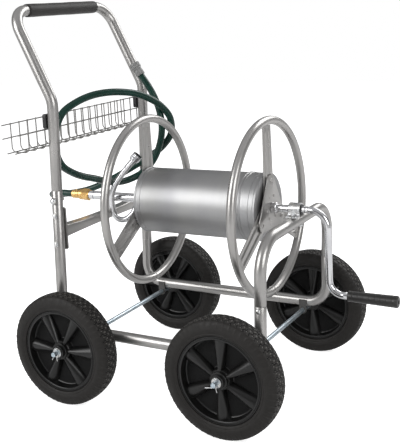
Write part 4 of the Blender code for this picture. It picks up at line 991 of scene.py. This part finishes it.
shaft += [(length - 0.0006, SHAFT_RADIUS), (length, SHAFT_RADIUS - 0.0006), (length, 0)]
put("front_shaft_bar", turned(shaft, (start, 0, REEL_HEIGHT), (1, 0, 0), 56, closed=False), chrome.material,
    "reel", "front_shaft")
length = rear_x + 0.012 - SPINDLE_END_X
spindle = [(0, SPINDLE_BORE), (0, SPINDLE_RADIUS - 0.0006), (0.0006, SPINDLE_RADIUS),
    (0.0330, SPINDLE_RADIUS)]
spindle += [(0.0334, SPINDLE_RADIUS - 0.0007), (0.0352, SPINDLE_RADIUS - 0.0007), (0.0356, SPINDLE_RADIUS)]
spindle += [(length, SPINDLE_RADIUS), (length, SPINDLE_BORE)]
put("water_spindle", turned(spindle, (SPINDLE_END_X, 0, REEL_HEIGHT), (1, 0, 0), 56), chrome.material, "reel",
    "reel_spindle")


# Gooseneck: a chromed thin tube brazed into the spindle's side, which loops under and up beside it and ends
# in a ribbed coupling nut, where the working hose is screwed on.
GOOSENECK_RADIUS = 0.007
GOOSENECK_BORE = 0.0058
NUT_LENGTH = 0.018
start = -(SPINDLE_RADIUS + GAP)
gooseneck_points = np.array([
    (-0.216, 0.000, start - 0.0002), (-0.216, 0.000, start - 0.009),
    (-0.222, -0.006, -0.037), (-0.237, -0.014, -0.050), (-0.254, -0.020, -0.050),
    (-0.265, -0.023, -0.035), (-0.268, -0.024, -0.010), (-0.265, -0.024, 0.015), (-0.252, -0.020, 0.042),
    (-0.229, -0.012, 0.072), (-0.208, -0.004, 0.096),
]) + (0, 0, REEL_HEIGHT)
neck = even_curve(gooseneck_points, 0.0025)
put("gooseneck_tube", tube(neck, GOOSENECK_RADIUS, 32, GOOSENECK_BORE), chrome.material, "reel",
    "gooseneck_pipe")
neck_way = unit(neck[-1] - neck[-3])
nut_start = neck[-1] - neck_way * NUT_LENGTH * 0.35
ribs = 20
angle = np.linspace(0, 2 * np.pi, ribs * 8, endpoint=False)
fluting = 0.0011 * np.clip(np.cos(angle * ribs) * 1.6, -1, 1)
levels = [(0, 0.0071, 0), (0, 0.0098, 0), (0.0008, 0.0106, 0), (0.0030, 0.0108, 0), (0.0036, 0.0112, 0.6),
          (0.0050, 0.0114, 1), (0.0135, 0.0114, 1), (0.0146, 0.0112, 0.5), (0.0152, 0.0118, 0),
          (0.0172, 0.0118, 0),
          (NUT_LENGTH, 0.0110, 0), (NUT_LENGTH, 0.0086, 0), (0.0090, 0.0084, 0), (0.0085, 0.0071, 0)]
nut_side = unit(np.cross(neck_way, (0, 1, 0)))
nut_rise = np.cross(neck_way, nut_side)
nut_rows = []
for level, radius, ribbed in levels:
    r = (radius + fluting * ribbed)[:, None]
    spoke = np.cos(angle)[:, None] * nut_side + np.sin(angle)[:, None] * nut_rise
    nut_rows.append(nut_start + neck_way * level + r * spoke)
put("gooseneck_coupling_nut", grid_shell(np.array(nut_rows), wrap_rows=True), chrome.material, "reel",
    "gooseneck_nut", sharp=30)


# Front bearing: a black nylon bush round the shaft, held on the arch's top bar by a pressed, zinc-plated
# omega strap with a hexagon-head bolt through each foot and through the tube.
SADDLE_WIDTH = 0.026
SADDLE_THICKNESS = 0.0025
SADDLE_FLANGE = 0.018
BUSH_WALL = 0.003
saddle_x = front_post_x(ARCH_TOP_Z)
floor_z = ARCH_TOP_Z + TUBE_RADIUS + GAP
inside = SHAFT_RADIUS + BUSH_WALL + 2 * GAP
outside = inside + SADDLE_THICKNESS
foot_y = outside + SADDLE_FLANGE
arc = np.linspace(np.radians(8), np.radians(172), 25)
outline = [(foot_y, floor_z), (foot_y, floor_z + SADDLE_THICKNESS),
    (outside + 0.0035, floor_z + SADDLE_THICKNESS)]
outline += [(outside + 0.0010, floor_z + SADDLE_THICKNESS + 0.0010), (outside + 0.0001, floor_z + 0.0062)]
outline += [(outside * np.cos(a), REEL_HEIGHT + outside * np.sin(a)) for a in arc]
outline += [(-outside - 0.0001, floor_z + 0.0062), (-outside - 0.0010, floor_z + SADDLE_THICKNESS + 0.0010)]
outline += [(-outside - 0.0035, floor_z + SADDLE_THICKNESS), (-foot_y, floor_z + SADDLE_THICKNESS),
    (-foot_y, floor_z)]
outline += [(-inside, floor_z)] + [(-inside * np.cos(a), REEL_HEIGHT + inside * np.sin(a)) for a in arc]
outline += [(inside, floor_z)]
strap = np.column_stack([np.full(len(outline), saddle_x - SADDLE_WIDTH / 2), np.array(outline)])
put("bearing_strap", extruded(strap, (SADDLE_WIDTH, 0, 0)), zinc.material, "frame", "saddle_strap",
    bevel=0.0005)
nylon = Finish("black_nylon", (0.022, 0.022, 0.023), roughness=0.45)
nylon.roughness(nylon.noise(150, 3), 0.38, 0.55)
nylon.colours(nylon.noise(40, 3), ((0.3, (0.016, 0.016, 0.017)), (0.7, (0.030, 0.030, 0.031))))
nylon.bump(nylon.noise(1100, 2), 0.00006, 0.6)
width = SADDLE_WIDTH + 0.004
bush = [(0, SHAFT_RADIUS + GAP), (0, SHAFT_RADIUS + BUSH_WALL - 0.0004), (0.0006, SHAFT_RADIUS + BUSH_WALL)]
bush += [(width - 0.0006, SHAFT_RADIUS + BUSH_WALL), (width, SHAFT_RADIUS + BUSH_WALL - 0.0004)]
bush += [(width, SHAFT_RADIUS + GAP)]
put("nylon_bush", turned(bush, (saddle_x - width / 2, 0, REEL_HEIGHT), (1, 0, 0), 48), nylon.material,
    "frame", "shaft_bush")
for side_name, side in (("near", -1), ("far", 1)):
    place = (saddle_x, side * (outside + SADDLE_FLANGE / 2), 0)
    top = floor_z + SADDLE_THICKNESS + GAP
    low = ARCH_TOP_Z - TUBE_RADIUS - GAP
    shank = [(low - 0.0052, 0), (low - 0.0052, BOLT_RADIUS - 0.0006), (low - 0.0046, BOLT_RADIUS)]
    shank += [(top, BOLT_RADIUS), (top, 0.0066), (top + 0.0008, 0.0066), (top + 0.0008, 0.004)]
    shank += [(top + 0.0030, 0.003), (top + 0.0030, 0)]
    head = hexagon(place, (0, 0, 1), 0.0100, top + 0.0009, 0.0034)
    nut = hexagon(place, (0, 0, 1), 0.0088, low - 0.0040, 0.0038)
    put(f"strap_bolt_{side_name}", joined(turned(shank, place, (0, 0, 1), 32, closed=False), head, nut),
        zinc.material, "frame", f"saddle_bolt_{side_name}")


# Crank: a chromed tube bent twice, slipped over the front shaft's end, with a loose black handle on a steel
# peg. The handle is moulded with shallow ring grooves, a flange at the crank and a hollow in its end.
CRANK_RADIUS = 0.0075
CRANK_DROP_X = 0.261
CRANK_THROW = 0.181
CRANK_BENDS = (0.040, 0.030)
CRANK_GRIP_X = 0.3015
CRANK_GRIP_LENGTH = 0.1065
CRANK_GRIP_RADII = (0.0112, 0.0128)
GROOVE_SPACING = 0.0120
GROOVE_DEPTH = 0.0004
PEG_RADIUS = 0.005
crank_z = REEL_HEIGHT - CRANK_THROW
crank_corners = ((CRANK_START_X, 0, REEL_HEIGHT), (CRANK_DROP_X, 0, REEL_HEIGHT), (CRANK_DROP_X, 0, crank_z),
                 (CRANK_GRIP_X - GAP, 0, crank_z))
run, radii = chamfered(bent_path(crank_corners, CRANK_BENDS, 22), CRANK_RADIUS, 0.0007)
peg_end = CRANK_GRIP_X + CRANK_GRIP_LENGTH - 0.006
peg = [(0, 0), (0, PEG_RADIUS), (peg_end - CRANK_GRIP_X, PEG_RADIUS), (peg_end - CRANK_GRIP_X, 0)]
peg_shell = turned(peg, (CRANK_GRIP_X - GAP, 0, crank_z), (1, 0, 0), 32, closed=False)
crank_shell = joined(tube(run, radii, 40), peg_shell)
put("crank_handle_arm", crank_shell, chrome.material, "reel", "crank_arm")

grip_plastic = Finish("crank_grip_plastic", (0.010, 0.0095, 0.009), roughness=0.40)
grip_plastic.colours(grip_plastic.noise(50, 3), ((0.3, (0.008, 0.0075, 0.007)),
    (0.7, (0.015, 0.014, 0.0132))))
grip_plastic.roughness(grip_plastic.noise(120, 3), 0.28, 0.46)
grip_plastic.bump(grip_plastic.noise(900, 2), 0.00006, 0.6)
first, last = CRANK_GRIP_RADII
length = CRANK_GRIP_LENGTH
grip = [(GAP, PEG_RADIUS + GAP), (GAP, 0.0104), (0.0009, 0.0116), (0.0032, 0.0118), (0.0042, first - 0.0002)]
along = np.linspace(0.0055, length - 0.008, 111)
groove = np.exp(-(((along - 0.0055) % GROOVE_SPACING - GROOVE_SPACING / 2) / 0.0007) ** 2)
grip += list(zip(along, first + (last - first) * along / length - GROOVE_DEPTH * groove))
grip += [(length - 0.0060, last), (length - 0.0022, last - 0.0002), (length - 0.0006, last - 0.0016)]
grip += [(length, last - 0.0034), (length, 0.0048), (length - 0.0006, 0.0044), (length - 0.0038, 0.0042)]
grip += [(length - 0.0038, 0)]
grip_shell = turned(grip, (CRANK_GRIP_X, 0, crank_z), (1, 0, 0), 56, closed=False)
put("crank_grip_sleeve", grip_shell, grip_plastic.material, "crank_handle", "crank_grip",
    sharp=30)


# Wire basket: a long tray of welded steel wire behind the handle's legs, with pairs of rails at the top, the
# middle and the bottom and U-shaped cross wires, zinc dipped and dulled. Plastic clips bolt it to the legs.
WIRE_RADIUS = 0.0014
BASKET_FRONT_X = -0.322
BASKET_DEPTH = 0.048
BASKET_BACK_DROP = 0.008
BASKET_Y = (-0.283, 0.215)
BASKET_TOP_Z = 0.640
BASKET_MID_Z = 0.608
BASKET_BOTTOM_Z = 0.566
BASKET_CORNER = 0.012
BASKET_LOOPS = 16
WIRE_OVERHANG = (0.033, 0.018)
CLIP_SIZE = (0.020, 0.032)
wire_coat = Finish("wire_coat", (0.27, 0.265, 0.255), metallic=0.7, roughness=0.36)
wire_coat.colours(wire_coat.noise(45, 4), ((0.32, (0.23, 0.225, 0.215)), (0.52, (0.27, 0.265, 0.255)),
    (0.7, (0.31, 0.305, 0.295))))
wire_coat.roughness(wire_coat.noise(160, 3), 0.30, 0.52)
wire_coat.bump(wire_coat.noise(800, 2), 0.00008, 0.6)
wires = []
back_x = BASKET_FRONT_X - BASKET_DEPTH
lap = WIRE_RADIUS * 1.5
rails = [(BASKET_FRONT_X - lap, z) for z in (BASKET_TOP_Z - lap, BASKET_MID_Z)]
rails += [(back_x + lap, z - BASKET_BACK_DROP) for z in (BASKET_TOP_Z - lap, BASKET_MID_Z)]
rails += [(x, BASKET_BOTTOM_Z + lap) for x in (BASKET_FRONT_X - 0.013, back_x + 0.013)]
for x, z in rails:
    ends = np.array([(x, BASKET_Y[0], z), (x, BASKET_Y[0] + 0.001, z), (x, BASKET_Y[1] - 0.001, z),
        (x, BASKET_Y[1], z)])
    wires.append(tube(ends, [WIRE_RADIUS * 0.6, WIRE_RADIUS, WIRE_RADIUS, WIRE_RADIUS * 0.6], 12))
for y in np.linspace(BASKET_Y[0] + WIRE_OVERHANG[0], BASKET_Y[1] - WIRE_OVERHANG[1], BASKET_LOOPS):
    back_corners = ((back_x, y, BASKET_TOP_Z - BASKET_BACK_DROP), (back_x, y, BASKET_BOTTOM_Z))
    corners = (*back_corners, (BASKET_FRONT_X, y, BASKET_BOTTOM_Z), (BASKET_FRONT_X, y, BASKET_TOP_Z))
    wires.append(tube(bent_path(corners, (BASKET_CORNER, BASKET_CORNER), 6), WIRE_RADIUS, 10))
put("basket_wires", joined(*wires), wire_coat.material, "frame", "wire_basket")
for side_name, side in (("near", -1), ("far", 1)):
    front = rear_post_x(BASKET_MID_Z) - TUBE_RADIUS - GAP
    back = BASKET_FRONT_X + WIRE_RADIUS + GAP
    width, height = CLIP_SIZE
    y, top = side * SIDE_Y, BASKET_TOP_Z + 0.004
    left, right, low = y - width / 2, y + width / 2, top - height
    outline = rounded_outline([(left, low), (right, low), (right, top), (left, top)], 0.004)
    block = np.column_stack([np.full(len(outline), back), outline])
    clip = extruded(block, (front - back, 0, 0))
    bolt = [(back - 0.0030, 0), (back - 0.0030, 0.0030), (back - 0.0012, 0.0044), (back + 0.001, 0.0044)]
    bolt = turned(bolt, (0, y, top - height / 2), (1, 0, 0), 24, closed=False)
    put(f"basket_clip_block_{side_name}", clip, nylon.material, "frame", f"basket_clip_{side_name}",
        bevel=0.0008)
    put(f"basket_clip_bolt_{side_name}", bolt, zinc.material, "frame", ())


# Water inlet: a chromed swivel tube in line with the spindle, then a brass connector with a hexagon to
# tighten it and a turned, stepped collar that the leader hose is crimped into.
INLET_PIPE_END_X = -0.347
BRASS_NUT_RADIUS = 0.0150
BRASS_NUT_LENGTH = 0.0295
BRASS_COLLAR_RADIUS = 0.0107
BRASS_COLLAR_LENGTH = 0.022
length = SPINDLE_END_X - GAP - INLET_PIPE_END_X
inlet = [(0, SPINDLE_BORE), (0, SPINDLE_RADIUS - 0.0008), (0.0008, SPINDLE_RADIUS), (0.0125, SPINDLE_RADIUS)]
inlet += [(0.0128, SPINDLE_RADIUS - 0.0012), (0.0148, SPINDLE_RADIUS - 0.0012), (0.0151, SPINDLE_RADIUS)]
inlet += [(length - 0.0006, SPINDLE_RADIUS), (length, SPINDLE_RADIUS - 0.0006), (length, SPINDLE_BORE)]
put("swivel_tube", turned(inlet, (INLET_PIPE_END_X, 0, REEL_HEIGHT), (1, 0, 0), 56), chrome.material, "frame",
    "swivel_inlet")
brass = Finish("brass_body", (0.68, 0.43, 0.16), metallic=1.0, roughness=0.24)
brass.colours(brass.noise(60, 4), ((0.32, (0.56, 0.34, 0.12)), (0.52, (0.69, 0.44, 0.17)),
    (0.72, (0.78, 0.53, 0.24))))
brass.roughness(brass.noise(140, 3), 0.16, 0.36)
brass.bump(brass.noise(1.0, 3, 0.6, brass.stretched((2200, 60, 60))), 0.00003, 0.5)
brass_start = INLET_PIPE_END_X - GAP
corner = BRASS_NUT_RADIUS
hexagon_end = BRASS_NUT_LENGTH * 0.66
hex_profile = [(0.0020, SPINDLE_BORE), (0.0020, corner * 0.90), (0.0032, corner),
    (hexagon_end - 0.0012, corner)]
hex_profile += [(hexagon_end, corner * 0.90), (hexagon_end, SPINDLE_BORE)]
n, e = BRASS_NUT_LENGTH, BRASS_NUT_LENGTH + BRASS_COLLAR_LENGTH
collar = [(0, SPINDLE_BORE), (0, 0.0118), (0.0020, 0.0124), (hexagon_end + 0.0006, 0.0128),
    (hexagon_end + 0.0012, 0.0133)]
collar += [(n - 0.0014, 0.0133), (n - 0.0006, 0.0128), (n, 0.0100), (n + 0.0016, 0.0097),
    (n + 0.0024, BRASS_COLLAR_RADIUS)]
collar += [(n + 0.0096, BRASS_COLLAR_RADIUS), (n + 0.0102, 0.0101), (n + 0.0116, 0.0101),
    (n + 0.0122, BRASS_COLLAR_RADIUS)]
collar += [(e - 0.0010, BRASS_COLLAR_RADIUS), (e, 0.0098), (e, SPINDLE_BORE)]
brass_shell = joined(turned(hex_profile, (brass_start, 0, REEL_HEIGHT), (-1, 0, 0), 6),
                     turned(collar, (brass_start, 0, REEL_HEIGHT), (-1, 0, 0), 64))
put("brass_inlet", brass_shell, brass.material, "frame", "brass_connector", sharp=30)


# Leader hose: green vinyl garden hose with a woven core, from the brass inlet connector behind the reel, in a
# loop between the handle's legs, to a grey click-on coupling at the far leg. It is stiff and holds its curl.
HOSE_RADIUS = 0.0085
HOSE_ROUTE = (
    (-0.3996, 0.000, 0.418), (-0.414, 0.000, 0.418), (-0.430, 0.000, 0.418), (-0.458, 0.007, 0.413),
    (-0.491, 0.033, 0.404), (-0.504, 0.073, 0.394), (-0.494, 0.115, 0.390), (-0.463, 0.144, 0.394),
    (-0.423, 0.153, 0.408), (-0.384, 0.154, 0.426), (-0.345, 0.156, 0.446), (-0.307, 0.160, 0.467),
    (-0.270, 0.165, 0.489), (-0.235, 0.171, 0.514), (-0.209, 0.174, 0.548), (-0.203, 0.163, 0.589),
    (-0.212, 0.137, 0.622), (-0.224, 0.102, 0.645), (-0.239, 0.064, 0.661), (-0.255, 0.025, 0.669),
    (-0.271, -0.015, 0.672), (-0.286, -0.056, 0.669), (-0.299, -0.099, 0.658), (-0.307, -0.141, 0.639),
    (-0.310, -0.166, 0.603), (-0.314, -0.166, 0.555), (-0.318, -0.142, 0.518), (-0.319, -0.101, 0.493),
    (-0.318, -0.059, 0.476), (-0.318, -0.016, 0.463), (-0.317, 0.025, 0.449), (-0.314, 0.067, 0.438),
    (-0.305, 0.109, 0.436), (-0.279, 0.139, 0.451), (-0.250, 0.147, 0.482), (-0.230, 0.149, 0.521),
    (-0.222, 0.152, 0.564), (-0.229, 0.156, 0.609), (-0.247, 0.156, 0.654), (-0.275, 0.154, 0.697),
)
BRASS_LENGTH = BRASS_NUT_LENGTH + BRASS_COLLAR_LENGTH
hose_start = (INLET_PIPE_END_X - 2 * GAP - BRASS_LENGTH, 0.0, REEL_HEIGHT)

vinyl = Finish("hose_vinyl", (0.0018, 0.030, 0.021), roughness=0.27)
vinyl.colours(vinyl.noise(38, 4), ((0.35, (0.0014, 0.025, 0.017)), (0.65, (0.0022, 0.034, 0.024))))
vinyl.shader.inputs["Specular IOR Level"].default_value = 0.32
vinyl.roughness(vinyl.noise(90, 3), 0.20, 0.32)
vinyl.shader.inputs["Coat Weight"].default_value = 0.12
vinyl.shader.inputs["Coat Roughness"].default_value = 0.12
vinyl.bump(vinyl.noise(420, 2), 0.00005, 0.3)

HOSE_RIBS = 18
HOSE_RIB_HEIGHT = 0.00018
hose_path = even_curve([hose_start, *HOSE_ROUTE[1:]], 0.004)
rib_angles = np.linspace(0, 2 * np.pi, HOSE_RIBS * 4, endpoint=False)
_, hose_side, hose_rise = path_directions(hose_path)
hose_radius = HOSE_RADIUS - HOSE_RIB_HEIGHT * (1 - np.cos(rib_angles * HOSE_RIBS)) / 2
rib_cos, rib_sin = np.cos(rib_angles)[:, None], np.sin(rib_angles)[:, None]
hose_ring = hose_side[:, None] * rib_cos + hose_rise[:, None] * rib_sin
hose_skin = hose_path[:, None] + hose_ring * hose_radius[:, None]
hose_ends = hose_path[[0, -1], None] + 0 * hose_ring[[0, -1]]
hose_shell = grid_shell(np.concatenate([hose_ends[:1], hose_skin, hose_ends[1:]]))
hose = put("leader_hose_skin", hose_shell, vinyl.material, "frame", "leader_hose")

COUPLING_LENGTH = 0.034
COUPLING_RADIUS = 0.0125
coupling_direction = unit(hose_path[-1] - hose_path[-2])
coupling_start = hose_path[-1] + coupling_direction * GAP
moulded_grey = Finish("grey_plastic", (0.20, 0.20, 0.197), roughness=0.40)
moulded_grey.colours(moulded_grey.noise(60), ((0.3, (0.18, 0.18, 0.176)), (0.7, (0.22, 0.22, 0.217))))
moulded_grey.roughness(moulded_grey.noise(90), 0.34, 0.48)
moulded_grey.bump(moulded_grey.noise(500, 2), 0.00004, 0.3)
r, length = COUPLING_RADIUS, COUPLING_LENGTH
coupling_profile = [
    (0, 0), (0, r * 0.84), (0.0010, r * 0.90), (0.0135, r * 0.92), (0.0142, r * 0.84), (0.0160, r * 0.84),
    (0.0168, r * 0.92), (0.0205, r * 0.94), (0.0215, r * 1.06), (0.0225, r * 1.09), (0.0262, r * 1.09),
    (0.0270, r * 1.02), (0.0286, r * 1.02), (0.0294, r * 1.09), (0.0328, r * 1.09), (length, r * 1.03),
    (length, r * 0.86), (0.0330, r * 0.82), (length * 0.45, r * 0.78), (length * 0.45, 0),
]
coupling = put(
    "hose_coupling_body", turned(coupling_profile, coupling_start, coupling_direction, 56, closed=False),
    moulded_grey.material, "frame", "hose_coupling",
)
